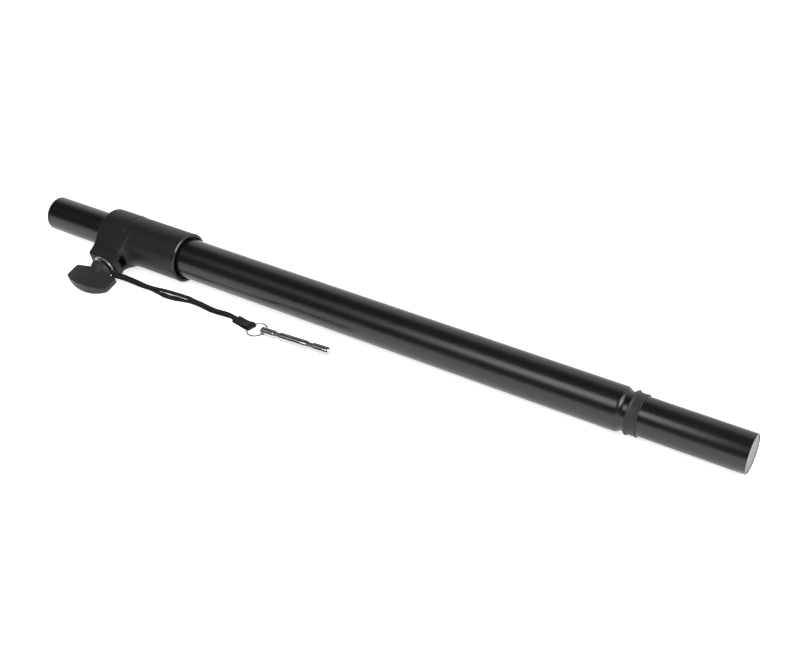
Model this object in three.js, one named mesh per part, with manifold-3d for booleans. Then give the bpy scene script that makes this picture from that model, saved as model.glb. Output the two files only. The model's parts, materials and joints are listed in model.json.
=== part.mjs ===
// Extendable speaker pole: two telescoping steel tubes, a moulded clamp collar and a tethered safety pin.
// It lies on the floor as it is stored: the pole points along +X, the clamp knob leans on the floor at -Y.
// Millimetres, +Z up. The origin is the middle of the footprint, on the floor.
import * as THREE from 'three';
import { mergeVertices } from 'three/addons/utils/BufferGeometryUtils.js';
import Module from 'manifold-3d';

const wasm = await Module();
wasm.setup();

// Round stretches and cuts
const tubeSides = 48;
const smallSides = 20;
const washerSides = 32;
const wireSides = 8;
const ringSteps = 40;
const bendSteps = 6;
const roundSteps = 4;
const noseSteps = 5;
const curveSteps = 8;
const cutOverrun = 2;
const weldDistance = 0.0001;
const seatGap = 0.3;

// Tubes
const mastDiameter = 35;
const bodyDiameter = 40;
const bodyWall = 1.2;
const mastWall = 1.5;
const mastTubeLength = 635;
const bodyBelowCollar = 466;
const shoulderLength = 6;
const spigotLength = 106;
const pinHoleRoom = 1;
const pinHoleSpacing = 60;
const pinHoleFirst = 142.5;
const pinHoleCount = 6;

// End pieces of the tubes
const capFlange = 2.5;
const capEdgeRadius = 1.6;
const capSkirt = 18;
const plugWall = 1.8;
const footInset = 0.4;
const footDepth = 14;
const footEdge = 0.5;

// Flanged ring on the spigot
const ringBelowShoulder = 3.5;
const ringFlangeInset = 0.2;
const ringFlangeThickness = 1.5;
const ringLength = 10.1;
const ringBandRise = 1;
const ringBeadRise = 0.4;
const ringBeadLength = 0.9;
const ringEdge = 0.5;

// Guide on the lower end of the inner tube
const guideSleeve = 60;
const guideFlange = 2;
const guideSpigot = 14;
const guideWall = 1.6;

// Collar, measured along the pole from the clamp screw
const collarAbove = 24.6;
const collarBelow = 76.5;
const collarWall = 5.2;
const collarNoseRadius = 2;
const collarHeadBelow = 7.2;
const collarStep = 0.4;
const collarBeadLength = 1.6;
const collarMouthChamfer = 1.4;
const rimRecessRoom = 2;
const rimRecessDepth = 4;
const bodySeatDepth = 50;
const mastBoreRoom = 0.4;

// Boss of the collar, measured outwards from the pole's axis
const bossCover = 8;
const bossHalfHeight = 11.2;
const bossRootAngle = 59;
const bossRootReach = 36;
const bossLeft = 17.6;
const bossRight = 15.3;
const bossRightWaist = 13.2;
const bossRightFoot = 15;
const bossWaistReach = 33;
const bossFilletRun = 15;
const bossFilletRise = 9.7;
const bossFilletShare = 0.8;
const bossFilletSteps = 16;
const bossFilletDepth = 1;
const bossFlushReach = 16;
const bossCorner = 1.8;
const bossLeftFlare = 0.6;

// Clamp: screw, captive nut, shoe and washer
const clampTilt = 15;
const screwDiameter = 8;
const screwTipDiameter = 5.6;
const screwTipLength = 2.3;
const screwChamfer = 0.8;
const screwInKnob = 19.5;
const nutAcrossFlats = 13;
const nutHeight = 6.5;
const nutBacking = 4.2;
const nutSlotRoom = 0.6;
const shoeDiameter = 13.4;
const shoeThickness = 4.5;
const clampTravel = 2.5;
const washerDiameter = 23;
const washerThickness = 1.5;

// Knob, measured outwards from its base
const hubDiameter = 17;
const hubTopDiameter = 11;
const hubLength = 13;
const wingInnerRise = 7.7;
const wingRootRise = 4.6;
const wingOuterRise = 23.9;
const wingCrestRise = 31;
const wingHalfWidth = 26.4;
const wingCornerRadius = 2.2;
const wingTipThickness = 5;
const wingMiddleThickness = 10.8;
const wingEdgeRadius = 1.8;
const hubEdge = 0.9;

// Blind rivets that hold the outer tube in the collar
const rivetShank = 4;
const rivetHead = 7.6;
const rivetHeadHeight = 1.1;
const rivetDomeSteps = 4;
const rivetStations = [47, 63];

// Lanyard of flat woven tape, its sewn tab, split ring and pin
const tapeWidth = 4.8;
const tapeThickness = 1.1;
const loopTapeWidth = 1.9;
const loopSlack = 0.45;
const loopNeck = 11.6;
const loopExitAngle = -20;
const loopMouthShare = 0.9;
const tapeSteps = 36;
const loopSteps = 14;
const tapeSectionShares = [
  [-0.5, -0.25], [-0.4, -0.5], [0.4, -0.5], [0.5, -0.25], [0.5, 0.25], [0.4, 0.5], [-0.4, 0.5], [-0.5, 0.25],
];
const tabLength = 24.6;
const tabWidth = 10;
const tabThickness = 3.2;
const tabEyeDiameter = 3.7;
const tabEyeWall = 0.8;
const tabLift = 0.2;
const tabTurn = -11.9;
const wireDiameter = 1.2;
const splitRingDiameter = 20.6;
const splitRingTilt = 7;
const pinDiameter = 8;
const pinLength = 74.5;
const pinGrooveDiameter = 6.4;
const pinGrooveLength = 4.4;
const pinGrooveTaper = 1.1;
const pinGrooveFirst = 18;
const pinGrooveSpacing = 36;
const pinChamfer = 1;
const pinEyeDiameter = 3.2;
const pinEyeInset = 3.6;
const pinTurn = 3.1;

// Routes of the two strands: along the pole from the clamp screw, across it, and above the floor
const upperRoute = [
  [11.6, -44.4, 10.2], [15, -44.0, 9.8], [18.8, -42.2, 8.9], [23.4, -40.4, 7.6], [28.5, -39.0, 6.1],
  [34.6, -37.8, 4.8], [40.7, -37.4, 3.9], [46.8, -37.1, 3.3], [52.9, -36.2, 2.9], [58.7, -35.2, 2.6],
  [64.7, -34.3, 2.6], [70.5, -33.4, 2.6], [76.3, -32.6, 2.4], [82.3, -32.0, 2.2], [88.4, -31.5, 2.2],
  [93.9, -31.7, 2.4], [99, -32.4, 2.7], [104.5, -33.3, 2.8], [109.5, -33.8, 2.7], [115.8, -34.1, 2.6],
  [122.9, -35.0, 2.6], [130.2, -36.0, 2.6], [136.7, -36.2, 2.6], [142.8, -35.7, 2.6],
  [149.3, -35.1, 2.6], [156.3, -35.3, 2.6], [162.2, -36.5, 2.6],
];
const lowerRoute = [
  [10.7, -44.0, 8.1], [14, -43.8, 7.8], [18.2, -42.0, 6.9], [23.4, -40.2, 5.6], [28.5, -38.8, 4.3],
  [34.6, -37.8, 3.0], [40.7, -37.4, 2.2], [46.8, -37.1, 1.6], [52.9, -36.7, 1.2], [58.7, -36.8, 1.0],
  [64.7, -38.1, 1.2], [70.8, -39.5, 2.3], [76.8, -40.5, 2.6], [82.8, -40.4, 2.6], [88.2, -39.2, 2.4],
  [92.9, -37.4, 1.6], [98, -35.4, 1.0], [103.5, -34.1, 1.0], [109.5, -33.9, 1.0], [115.8, -34.1, 1.0],
  [122.9, -35.0, 1.0], [130.2, -36.0, 1.0], [136.7, -36.2, 1.0], [142.8, -35.7, 1.0],
  [149.3, -35.1, 1.0], [156.3, -35.3, 1.0], [162.2, -36.5, 1.0],
];
const tabStart = [162.5, -36.6];
const edgeOnStartShare = 0.37;
const edgeOnEndShare = 0.585;
const edgeOnTurn = 75;

// Sizes that follow from the ones above
const mastRadius = mastDiameter / 2;
const bodyRadius = bodyDiameter / 2;
const collarRadius = bodyRadius + collarWall;
const collarShaftRadius = collarRadius - collarStep;
const bodyTop = collarBelow - bodySeatDepth;
const shoulderStart = collarBelow + bodyBelowCollar;
const shoulderEnd = shoulderStart + shoulderLength;
const bodyEnd = shoulderEnd + spigotLength;
const guideEnd = shoulderStart - shoulderLength - guideFlange;
const mastLowerEnd = guideEnd - seatGap;
const mastTop = mastLowerEnd - mastTubeLength;
const pinHoleDiameter = pinDiameter + pinHoleRoom;
const screwRoom = screwDiameter + seatGap + seatGap;
const shoeBack = mastRadius + seatGap + shoeThickness;
const nutReach = shoeBack + clampTravel + nutBacking;
const nutCorner = nutAcrossFlats / Math.sqrt(3);
const nutClearHalf = (nutAcrossFlats + nutSlotRoom) / 2;
const bossReach = nutReach + nutHeight + bossCover;
const loopReach = bossReach + seatGap + washerThickness + seatGap + loopTapeWidth / 2;
const loopRadius = screwDiameter / 2 + seatGap + tapeThickness / 2 + loopSlack;
const knobBase = loopReach + loopTapeWidth / 2 + seatGap;
const wingInner = knobBase + wingInnerRise;
const wingRoot = knobBase + wingRootRise;
const wingOuter = knobBase + wingOuterRise;
const wingCrest = knobBase + wingCrestRise;
const leanAngle = Math.asin((collarRadius - bodyRadius) / bodyBelowCollar);
const axisHeight = collarBelow * Math.sin(leanAngle) + collarRadius * Math.cos(leanAngle);
const tilt = THREE.MathUtils.degToRad(clampTilt);

const X = new THREE.Vector3(1, 0, 0);
const Y = new THREE.Vector3(0, 1, 0);
const Z = new THREE.Vector3(0, 0, 1);

// Surfaces
const paint = { color: 0x161616, roughness: 0.34, metalness: 0.0 };
const collarPlastic = { color: 0x2d2d2d, roughness: 0.6, metalness: 0.0 };
const knobPlastic = { color: 0x3a3a3a, roughness: 0.6, metalness: 0.0 };
const ringPlastic = { color: 0x404040, roughness: 0.62, metalness: 0.0 };
const footPlastic = { color: 0xb8b8b8, roughness: 0.6, metalness: 0.0 };
const darkPlastic = { color: 0x1b1b1b, roughness: 0.55, metalness: 0.0 };
const zinc = { color: 0xb4b6b8, roughness: 0.35, metalness: 1.0 };
const chrome = { color: 0xd8d9da, roughness: 0.12, metalness: 1.0 };
const tapeCloth = { color: 0x1c1c1c, roughness: 0.9, metalness: 0.0 };

function material(surface) {
  return new THREE.MeshStandardMaterial(surface);
}

function welded(geometry) {
  const bare = geometry.clone();
  bare.deleteAttribute('normal');
  bare.deleteAttribute('uv');
  const joined = mergeVertices(bare, weldDistance);
  const index = joined.index.array;
  const kept = [];
  for (let i = 0; i < index.length; i += 3) {
    const [a, b, c] = [index[i], index[i + 1], index[i + 2]];
    if (a !== b && b !== c && c !== a) kept.push(a, b, c);
  }
  joined.setIndex(kept);
  joined.computeVertexNormals();
  return joined;
}

function solidOf(geometry) {
  const mesh = welded(geometry);
  const vertProperties = new Float32Array(mesh.attributes.position.array);
  const triVerts = new Uint32Array(mesh.index.array);
  return new wasm.Manifold(new wasm.Mesh({ numProp: 3, vertProperties, triVerts }));
}

function geometryOf(solid) {
  const mesh = solid.getMesh();
  const geometry = new THREE.BufferGeometry();
  geometry.setAttribute('position', new THREE.BufferAttribute(new Float32Array(mesh.vertProperties), 3));
  geometry.setIndex(new THREE.BufferAttribute(new Uint32Array(mesh.triVerts), 1));
  geometry.computeVertexNormals();
  return geometry;
}

function piece(name, geometry, surface) {
  const mesh = new THREE.Mesh(welded(geometry), material(surface));
  mesh.name = name;
  return mesh;
}

// A turned body about Y from points (radius, height), outer side upwards
function turned(points, sides) {
  return new THREE.LatheGeometry(points.map(([r, h]) => new THREE.Vector2(r, h)), sides);
}

// The same, laid along X
function turnedAlongX(points, sides) {
  return turned(points, sides).rotateZ(-Math.PI / 2);
}

// Points of an arc about (r, h), from one angle to another in degrees
function arcPoints(r, h, radius, from, to, steps) {
  const points = [];
  for (let i = 0; i <= steps; i += 1) {
    const angle = THREE.MathUtils.degToRad(from + ((to - from) * i) / steps);
    points.push([r + radius * Math.cos(angle), h + radius * Math.sin(angle)]);
  }
  return points;
}

// A round bar along Y between two heights
function roundBar(diameter, from, to, sides) {
  const bar = new THREE.CylinderGeometry(diameter / 2, diameter / 2, to - from, sides);
  return bar.translate(0, (from + to) / 2, 0);
}

function block(fromX, toX, fromY, toY, halfZ) {
  const box = new THREE.BoxGeometry(toX - fromX, toY - fromY, halfZ + halfZ);
  return box.translate((fromX + toX) / 2, (fromY + toY) / 2, 0);
}

// An outline in X and Y, extruded evenly to both sides along Z
function slab(shape, halfDepth, steps) {
  const settings = { depth: halfDepth + halfDepth, bevelEnabled: false, curveSegments: steps };
  return new THREE.ExtrudeGeometry(shape, settings).translate(0, 0, -halfDepth);
}

// The same, with the outline's X and Y laid along Y and Z
function slabAlongX(shape, halfDepth, steps) {
  const frame = new THREE.Matrix4().makeBasis(Y, Z, X);
  return slab(shape, halfDepth, steps).applyMatrix4(frame);
}

// A closed body through a row of outlines with the same number of corners, filled at both ends
function skinned(sections) {
  const sides = sections[0].length;
  const last = (sections.length - 1) * sides;
  const index = [];
  for (let start = 0; start < last; start += sides) {
    for (let j = 0; j < sides; j += 1) {
      const a = start + j;
      const b = start + ((j + 1) % sides);
      index.push(a, b, a + sides, b, b + sides, a + sides);
    }
  }
  for (let j = 1; j < sides - 1; j += 1) index.push(0, j + 1, j, last, last + j, last + j + 1);
  const geometry = new THREE.BufferGeometry();
  geometry.setAttribute('position', new THREE.Float32BufferAttribute(sections.flat(2), 3));
  geometry.setIndex(index);
  return geometry;
}

// Tubes

function outerTube() {
  const bodyBore = bodyRadius - bodyWall;
  const spigotBore = mastRadius - bodyWall;
  const bend = (low, high, share) => high + ((low - high) * (1 - Math.cos(Math.PI * share))) / 2;
  const outer = [];
  const inner = [];
  for (let i = 0; i <= bendSteps; i += 1) {
    const share = i / bendSteps;
    const station = shoulderStart + shoulderLength * share;
    outer.push([bend(mastRadius, bodyRadius, share), station]);
    inner.unshift([bend(spigotBore, bodyBore, share), station - bodyWall / 2]);
  }
  const start = [bodyBore, bodyTop];
  const shell = solidOf(turnedAlongX([
    start, [bodyRadius, bodyTop], ...outer,
    [mastRadius, bodyEnd - footEdge], [mastRadius - footEdge, bodyEnd], [spigotBore, bodyEnd],
    ...inner, start,
  ], tubeSides));
  return geometryOf(shell.subtract(solidOf(rivetDrill())));
}

function rivetDrill() {
  const holes = rivetStations.map((station) => rivetHole(station));
  return geometryOf(holes.reduce((all, hole) => all.add(hole)));
}

function rivetHole(station) {
  const drill = rivetShank + seatGap + seatGap;
  const hole = roundBar(drill, -collarRadius - cutOverrun, -mastRadius - seatGap, smallSides);
  hole.translate(station, 0, 0).rotateX(Math.PI + tilt);
  return solidOf(hole);
}

function innerTube() {
  const bore = mastRadius - mastWall;
  const start = [bore, mastTop];
  const tube = turnedAlongX([
    start, [mastRadius, mastTop], [mastRadius, mastLowerEnd], [bore, mastLowerEnd], start,
  ], tubeSides);
  let solid = solidOf(tube);
  for (let i = 0; i < pinHoleCount; i += 1) {
    const hole = roundBar(pinHoleDiameter, -mastDiameter, mastDiameter, smallSides);
    hole.translate(mastTop + pinHoleFirst + pinHoleSpacing * i, 0, 0);
    solid = solid.subtract(solidOf(hole));
  }
  return geometryOf(solid);
}

function topCap() {
  const plug = mastRadius - mastWall - seatGap;
  const top = mastTop - seatGap;
  const face = top - capFlange;
  const edge = arcPoints(mastRadius - capEdgeRadius, face + capEdgeRadius, capEdgeRadius, -90, 0, roundSteps);
  return turnedAlongX([
    [0, face], ...edge, [mastRadius, top], [plug, top], [plug, top + capSkirt],
    [plug - plugWall, top + capSkirt], [plug - plugWall, top], [0, top],
  ], tubeSides);
}

function spigotPlug() {
  const plug = mastRadius - bodyWall - seatGap;
  const face = bodyEnd - footInset;
  return turnedAlongX([
    [0, face - plugWall], [plug - plugWall, face - plugWall], [plug - plugWall, face - footDepth],
    [plug, face - footDepth], [plug, face - footEdge], [plug - footEdge, face], [0, face],
  ], tubeSides);
}

function shoulderRing() {
  const bore = mastRadius + seatGap;
  const from = shoulderEnd + ringBelowShoulder;
  const band = mastRadius + ringBandRise;
  const bead = band + ringBeadRise;
  const flange = bodyRadius - ringFlangeInset;
  const lip = ringEdge;
  const beadStart = from + ringLength - ringBeadLength;
  const start = [bore, from];
  return turnedAlongX([
    start, [flange - lip, from], [flange, from + lip], [flange, from + ringFlangeThickness - lip],
    [flange - lip, from + ringFlangeThickness], [band, from + ringFlangeThickness + lip],
    [band, beadStart - lip], [bead, beadStart], [bead, from + ringLength - lip],
    [bead - lip, from + ringLength], [bore, from + ringLength], start,
  ], tubeSides);
}

function lowerGuide() {
  const outside = bodyRadius - bodyWall - seatGap;
  const inside = mastRadius + seatGap;
  const plug = mastRadius - mastWall - seatGap;
  const hollow = plug - guideWall;
  const start = [inside, guideEnd - guideSleeve];
  return turnedAlongX([
    start, [outside, guideEnd - guideSleeve], [outside, guideEnd + guideFlange],
    [hollow, guideEnd + guideFlange], [hollow, guideEnd - guideSpigot], [plug, guideEnd - guideSpigot],
    [plug, guideEnd], [inside, guideEnd], start,
  ], tubeSides);
}

// Collar

function collarOutside() {
  const noseMiddle = collarRadius - collarNoseRadius;
  const nose = arcPoints(noseMiddle, collarNoseRadius - collarAbove, collarNoseRadius, -90, 0, noseSteps);
  const bead = collarBelow - collarBeadLength;
  return solidOf(turnedAlongX([
    [0, -collarAbove], ...nose, [collarRadius, collarHeadBelow],
    [collarShaftRadius, collarHeadBelow + collarStep], [collarShaftRadius, bead - collarStep],
    [collarRadius, bead], [collarRadius, collarBelow - collarStep], [collarShaftRadius, collarBelow],
    [0, collarBelow],
  ], tubeSides));
}

function collarBore() {
  const bore = mastRadius + mastBoreRoom;
  const seat = bodyRadius + seatGap;
  const recess = bodyRadius + rimRecessRoom;
  const over = cutOverrun;
  return solidOf(turnedAlongX([
    [0, -collarAbove - over], [bore + collarMouthChamfer, -collarAbove - over],
    [bore + collarMouthChamfer, -collarAbove], [bore, collarMouthChamfer - collarAbove],
    [bore, bodyTop - seatGap], [seat, bodyTop - seatGap], [seat, collarBelow - rimRecessDepth],
    [recess, collarBelow - rimRecessDepth], [recess, collarBelow + over], [0, collarBelow + over],
  ], tubeSides));
}

// Upper half of the boss's side view: it leaves the round collar on its tangent and draws in to the end face
function bossFlank() {
  const root = THREE.MathUtils.degToRad(bossRootAngle);
  const start = new THREE.Vector2(collarRadius * Math.cos(root), collarRadius * Math.sin(root));
  const turn = (collarRadius - bossHalfHeight * Math.sin(root)) / Math.cos(root);
  const bend = new THREE.Vector2(turn, bossHalfHeight);
  const end = new THREE.Vector2(bossRootReach, bossHalfHeight);
  return new THREE.QuadraticBezierCurve(start, bend, end).getPoints(curveSteps);
}

function bossSide() {
  const flank = bossFlank();
  const shape = new THREE.Shape();
  shape.moveTo(0, -flank[0].y);
  flank.forEach((point) => shape.lineTo(point.x, -point.y));
  shape.lineTo(bossReach - bossCorner, -bossHalfHeight);
  shape.quadraticCurveTo(bossReach, -bossHalfHeight, bossReach, bossCorner - bossHalfHeight);
  shape.lineTo(bossReach, bossHalfHeight - bossCorner);
  shape.quadraticCurveTo(bossReach, bossHalfHeight, bossReach - bossCorner, bossHalfHeight);
  flank.reverse().forEach((point) => shape.lineTo(point.x, point.y));
  shape.lineTo(0, flank[flank.length - 1].y);
  return slabAlongX(shape, collarAbove + collarBelow, curveSteps);
}

// Plan view of the boss: flush with the collar's upper end, waisted below the screw
function bossPlan() {
  const shape = new THREE.Shape();
  shape.moveTo(-collarAbove, bossFlushReach - collarNoseRadius);
  shape.lineTo(bossRightFoot, bossFlushReach - collarNoseRadius);
  shape.lineTo(bossRightWaist, bossWaistReach);
  shape.lineTo(bossRight, bossReach - bossCorner);
  shape.quadraticCurveTo(bossRight, bossReach, bossRight - bossCorner, bossReach);
  shape.lineTo(bossCorner - bossLeft, bossReach);
  shape.quadraticCurveTo(-bossLeft, bossReach, -bossLeft - bossLeftFlare, bossReach - bossCorner);
  shape.lineTo(-collarAbove, bossFlushReach);
  return slab(shape, collarRadius, curveSteps);
}

// Height of the boss's flank over the pole's axis at an angle from the screw
function flankReach(angle) {
  const flank = bossFlank().map((point) => [Math.atan2(point.y, point.x), point.length()]);
  for (let i = 1; i < flank.length; i += 1) {
    const [[from, low], [to, high]] = [flank[i - 1], flank[i]];
    if (angle <= from && angle >= to) return low + ((high - low) * (from - angle)) / (from - to);
  }
  return Math.min(bossHalfHeight / Math.sin(angle), bossReach / Math.cos(angle));
}

// Hollow fillet under the boss's lower wall: widest below the screw, fading out where the flanks end
function bossFillet() {
  const root = THREE.MathUtils.degToRad(bossRootAngle);
  const floor = collarShaftRadius;
  const buried = floor - bossFilletDepth;
  const slope = (bossRightFoot - bossRightWaist) / (bossWaistReach - bossFlushReach + collarNoseRadius);
  const sections = [];
  for (let i = 0; i <= bossFilletSteps; i += 1) {
    const angle = root * ((i + i) / bossFilletSteps - 1);
    const swell = 1 - (angle / root) ** 2;
    const height = Math.max(flankReach(Math.max(Math.abs(angle), weldDistance)) - floor, 0);
    const top = floor + Math.min(bossFilletRise * swell, bossFilletShare * height);
    const wall = bossRightWaist + slope * (bossWaistReach - top * Math.cos(angle));
    const end = wall + bossFilletDepth + bossFilletRun * swell;
    const hollow = new THREE.QuadraticBezierCurve(
      new THREE.Vector2(end, floor), new THREE.Vector2(wall, floor), new THREE.Vector2(wall, top),
    ).getPoints(curveSteps).map((point) => [point.x, point.y]);
    const inside = wall - bossFilletDepth;
    const outline = [[end, buried], ...hollow, [inside, top], [inside, buried]];
    sections.push(outline.map(([x, r]) => [x, r * Math.cos(angle), r * Math.sin(angle)]));
  }
  return skinned(sections);
}

function nutSlot() {
  const slotEnd = bossRight + cutOverrun;
  const slotBack = -nutCorner - seatGap - seatGap;
  return block(slotBack, slotEnd, nutReach - seatGap, nutReach + nutHeight + seatGap, nutClearHalf);
}

function collar() {
  const screwHole = roundBar(screwRoom, 0, bossReach + cutOverrun, smallSides);
  const shoePocket = roundBar(
    shoeDiameter + seatGap + seatGap, 0, shoeBack + clampTravel + seatGap, smallSides,
  );
  let solid = solidOf(bossSide()).intersect(solidOf(bossPlan())).add(collarOutside());
  solid = solid.add(solidOf(bossFillet()));
  solid = solid.subtract(collarBore()).subtract(solidOf(screwHole)).subtract(solidOf(shoePocket));
  solid = solid.subtract(solidOf(nutSlot()));
  for (const station of rivetStations) {
    const hole = roundBar(
      rivetShank + seatGap + seatGap, -collarRadius - cutOverrun, -bodyRadius, smallSides,
    );
    solid = solid.subtract(solidOf(hole.translate(station, 0, 0)));
  }
  return geometryOf(solid);
}

// Clamp

function clampNut() {
  const nut = new THREE.CylinderGeometry(nutCorner, nutCorner, nutHeight, 6);
  nut.rotateY(Math.PI / 2).translate(0, nutReach + nutHeight / 2, 0);
  const thread = roundBar(screwRoom, nutReach - cutOverrun, nutReach + nutHeight + cutOverrun, smallSides);
  return geometryOf(solidOf(nut).subtract(solidOf(thread)));
}

function clampScrew() {
  const radius = screwDiameter / 2;
  const tip = screwTipDiameter / 2;
  const end = knobBase + screwInKnob;
  const shoulder = shoeBack + seatGap;
  return turned([
    [0, shoeBack - screwTipLength], [tip, shoeBack - screwTipLength], [tip, shoulder],
    [radius - screwChamfer, shoulder], [radius, shoulder + screwChamfer],
    [radius, end - screwChamfer], [radius - screwChamfer, end], [0, end],
  ], smallSides);
}

function clampShoe() {
  const face = mastRadius + seatGap;
  const tubeRoom = turnedAlongX([
    [0, -shoeDiameter], [face, -shoeDiameter], [face, shoeDiameter], [0, shoeDiameter],
  ], tubeSides);
  const pad = solidOf(roundBar(shoeDiameter, 0, shoeBack, smallSides));
  const socketFloor = shoeBack - screwTipLength - seatGap;
  const socketDiameter = screwTipDiameter + seatGap + seatGap;
  const socket = roundBar(socketDiameter, socketFloor, shoeBack + cutOverrun, smallSides);
  return geometryOf(pad.subtract(solidOf(tubeRoom)).subtract(solidOf(socket)));
}

function knobWasher() {
  const bore = screwRoom / 2;
  const from = bossReach + seatGap;
  const start = [bore, from];
  return turned([
    start, [washerDiameter / 2, from], [washerDiameter / 2, from + washerThickness],
    [bore, from + washerThickness], start,
  ], washerSides);
}

// Front view of the wing: slanted ends, concave shoulders and an arched outer edge
function wingFace() {
  const chord = wingHalfWidth;
  const rise = wingCrest - wingOuter;
  const arch = (chord * chord + rise * rise) / (rise + rise);
  const swing = Math.asin((chord - wingCornerRadius) / arch);
  const r = wingCornerRadius;
  const hub = hubTopDiameter / 2;
  const shape = new THREE.Shape();
  shape.moveTo(-hub, wingRoot);
  shape.quadraticCurveTo(-hub - r, wingRoot + r, r - chord, wingInner);
  shape.quadraticCurveTo(-chord, wingInner, -chord, wingInner + r);
  shape.lineTo(-chord, wingOuter - r);
  shape.quadraticCurveTo(-chord, wingOuter, r - chord, wingOuter + r / 2);
  shape.absarc(0, wingCrest - arch, arch, Math.PI / 2 + swing, Math.PI / 2 - swing, true);
  shape.quadraticCurveTo(chord, wingOuter, chord, wingOuter - r);
  shape.lineTo(chord, wingInner + r);
  shape.quadraticCurveTo(chord, wingInner, chord - r, wingInner);
  shape.quadraticCurveTo(hub + r, wingRoot + r, hub, wingRoot);
  return slab(shape, wingMiddleThickness, curveSteps + curveSteps);
}

// End view of the wing: thick over the hub, thin at the tips
function wingLens() {
  const middle = wingMiddleThickness / 2;
  const tip = wingTipThickness / 2;
  const bulge = middle + middle - tip;
  const side = wingHalfWidth + cutOverrun;
  const shape = new THREE.Shape();
  shape.moveTo(-side, -tip);
  shape.quadraticCurveTo(0, -bulge, side, -tip);
  shape.lineTo(side, tip);
  shape.quadraticCurveTo(0, bulge, -side, tip);
  return slab(shape, wingCrest, curveSteps + curveSteps).rotateX(Math.PI / 2);
}

// Edge view of the wing: rounded along the arch
function wingEdge() {
  const half = wingMiddleThickness / 2;
  const r = wingEdgeRadius;
  const shape = new THREE.Shape();
  shape.moveTo(knobBase, -half);
  shape.lineTo(wingCrest - r, -half);
  shape.quadraticCurveTo(wingCrest, -half, wingCrest, r - half);
  shape.lineTo(wingCrest, half - r);
  shape.quadraticCurveTo(wingCrest, half, wingCrest - r, half);
  shape.lineTo(knobBase, half);
  return slabAlongX(shape, wingCrest, roundSteps);
}

function knob() {
  const hub = turned([
    [0, knobBase], [hubDiameter / 2 - hubEdge, knobBase],
    [hubDiameter / 2, knobBase + hubEdge], [hubTopDiameter / 2, knobBase + hubLength],
    [0, knobBase + hubLength],
  ], smallSides);
  const wing = solidOf(wingFace()).intersect(solidOf(wingLens())).intersect(solidOf(wingEdge()));
  const insert = roundBar(
    screwRoom, knobBase - cutOverrun, knobBase + screwInKnob + seatGap, smallSides,
  );
  return geometryOf(solidOf(hub).add(wing).subtract(solidOf(insert)));
}

// Rivet: domed head outside the collar, shank through collar and tube, flush with the tube's bore
function rivet() {
  const head = rivetHead / 2;
  const seat = collarShaftRadius + seatGap;
  const tail = bodyRadius - bodyWall;
  const crown = [];
  for (let i = 0; i < rivetDomeSteps; i += 1) {
    const angle = ((i / rivetDomeSteps) * Math.PI) / 2;
    crown.push([head * Math.cos(angle), seat + rivetHeadHeight * Math.sin(angle)]);
  }
  return turned([
    [0, tail], [rivetShank / 2, tail], [rivetShank / 2, seat], ...crown, [0, seat + rivetHeadHeight],
  ], smallSides);
}

// Flat tape along a route, with its width level except where it stands on edge
function tape(curve, width, thickness, steps, up, turnAt) {
  const sections = [];
  for (let i = 0; i <= steps; i += 1) {
    const share = i / steps;
    const centre = curve.getPointAt(share);
    const along = curve.getTangentAt(share);
    const across = new THREE.Vector3().crossVectors(up, along).normalize();
    across.applyAxisAngle(along, turnAt(share));
    const normal = new THREE.Vector3().crossVectors(along, across);
    sections.push(tapeSectionShares.map(([a, b]) => {
      const corner = centre.clone();
      return corner.addScaledVector(across, a * width).addScaledVector(normal, b * thickness).toArray();
    }));
  }
  return skinned(sections);
}

function smoothCurve(points) {
  return new THREE.CatmullRomCurve3(points, false, 'centripetal');
}

function routeCurve(points) {
  return smoothCurve(points.map(([x, y, z]) => new THREE.Vector3(x, y, z)));
}

function strand(points, turnAt) {
  return tape(routeCurve(points), tapeWidth, tapeThickness, tapeSteps, Z, turnAt);
}

// The lower strand stands on edge in the middle of its run
function edgeOn(share) {
  const run = (share - edgeOnStartShare) / (edgeOnEndShare - edgeOnStartShare);
  const swell = run > 0 && run < 1 ? Math.sin(Math.PI * run) ** 2 : 0;
  return THREE.MathUtils.degToRad(edgeOnTurn) * swell;
}

// Teardrop of tape round the screw, in the plane square to it
function lanyardLoop() {
  const exit = THREE.MathUtils.degToRad(-loopExitAngle);
  const open = Math.acos(loopRadius / loopNeck) * loopMouthShare;
  const points = [];
  const place = (angle, radius) => new THREE.Vector3(
    radius * Math.cos(exit + angle), loopReach, radius * Math.sin(exit + angle),
  );
  const neck = Math.atan2(tapeThickness, loopNeck);
  points.push(place(-neck, loopNeck));
  const round = Math.PI + Math.PI - open - open;
  for (let i = 0; i <= loopSteps; i += 1) {
    points.push(place(-open - (round * i) / loopSteps, loopRadius));
  }
  points.push(place(neck, loopNeck));
  return tape(smoothCurve(points), loopTapeWidth, tapeThickness, loopSteps + loopSteps, X, () => 0);
}

// Sewn tab: two layers of webbing that open into an eye at the end
function lanyardTab() {
  const eye = tabEyeDiameter / 2;
  const outer = eye + tabEyeWall;
  const eyeCentre = tabLength - outer;
  const shape = new THREE.Shape();
  shape.moveTo(0, 0);
  shape.lineTo(eyeCentre, 0);
  shape.absarc(eyeCentre, outer, outer, -Math.PI / 2, Math.PI / 2 + Math.PI / 6, false);
  shape.lineTo(eyeCentre - outer - outer, tabThickness);
  shape.lineTo(0, tabThickness);
  const hole = new THREE.Path();
  hole.absarc(eyeCentre, outer, eye, 0, Math.PI * 2, true);
  shape.holes.push(hole);
  return slab(shape, tabWidth / 2, curveSteps).rotateX(Math.PI / 2);
}

function splitRing() {
  const wire = wireDiameter / 2;
  return new THREE.TorusGeometry(splitRingDiameter / 2 - wire, wire, wireSides, ringSteps);
}

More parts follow.
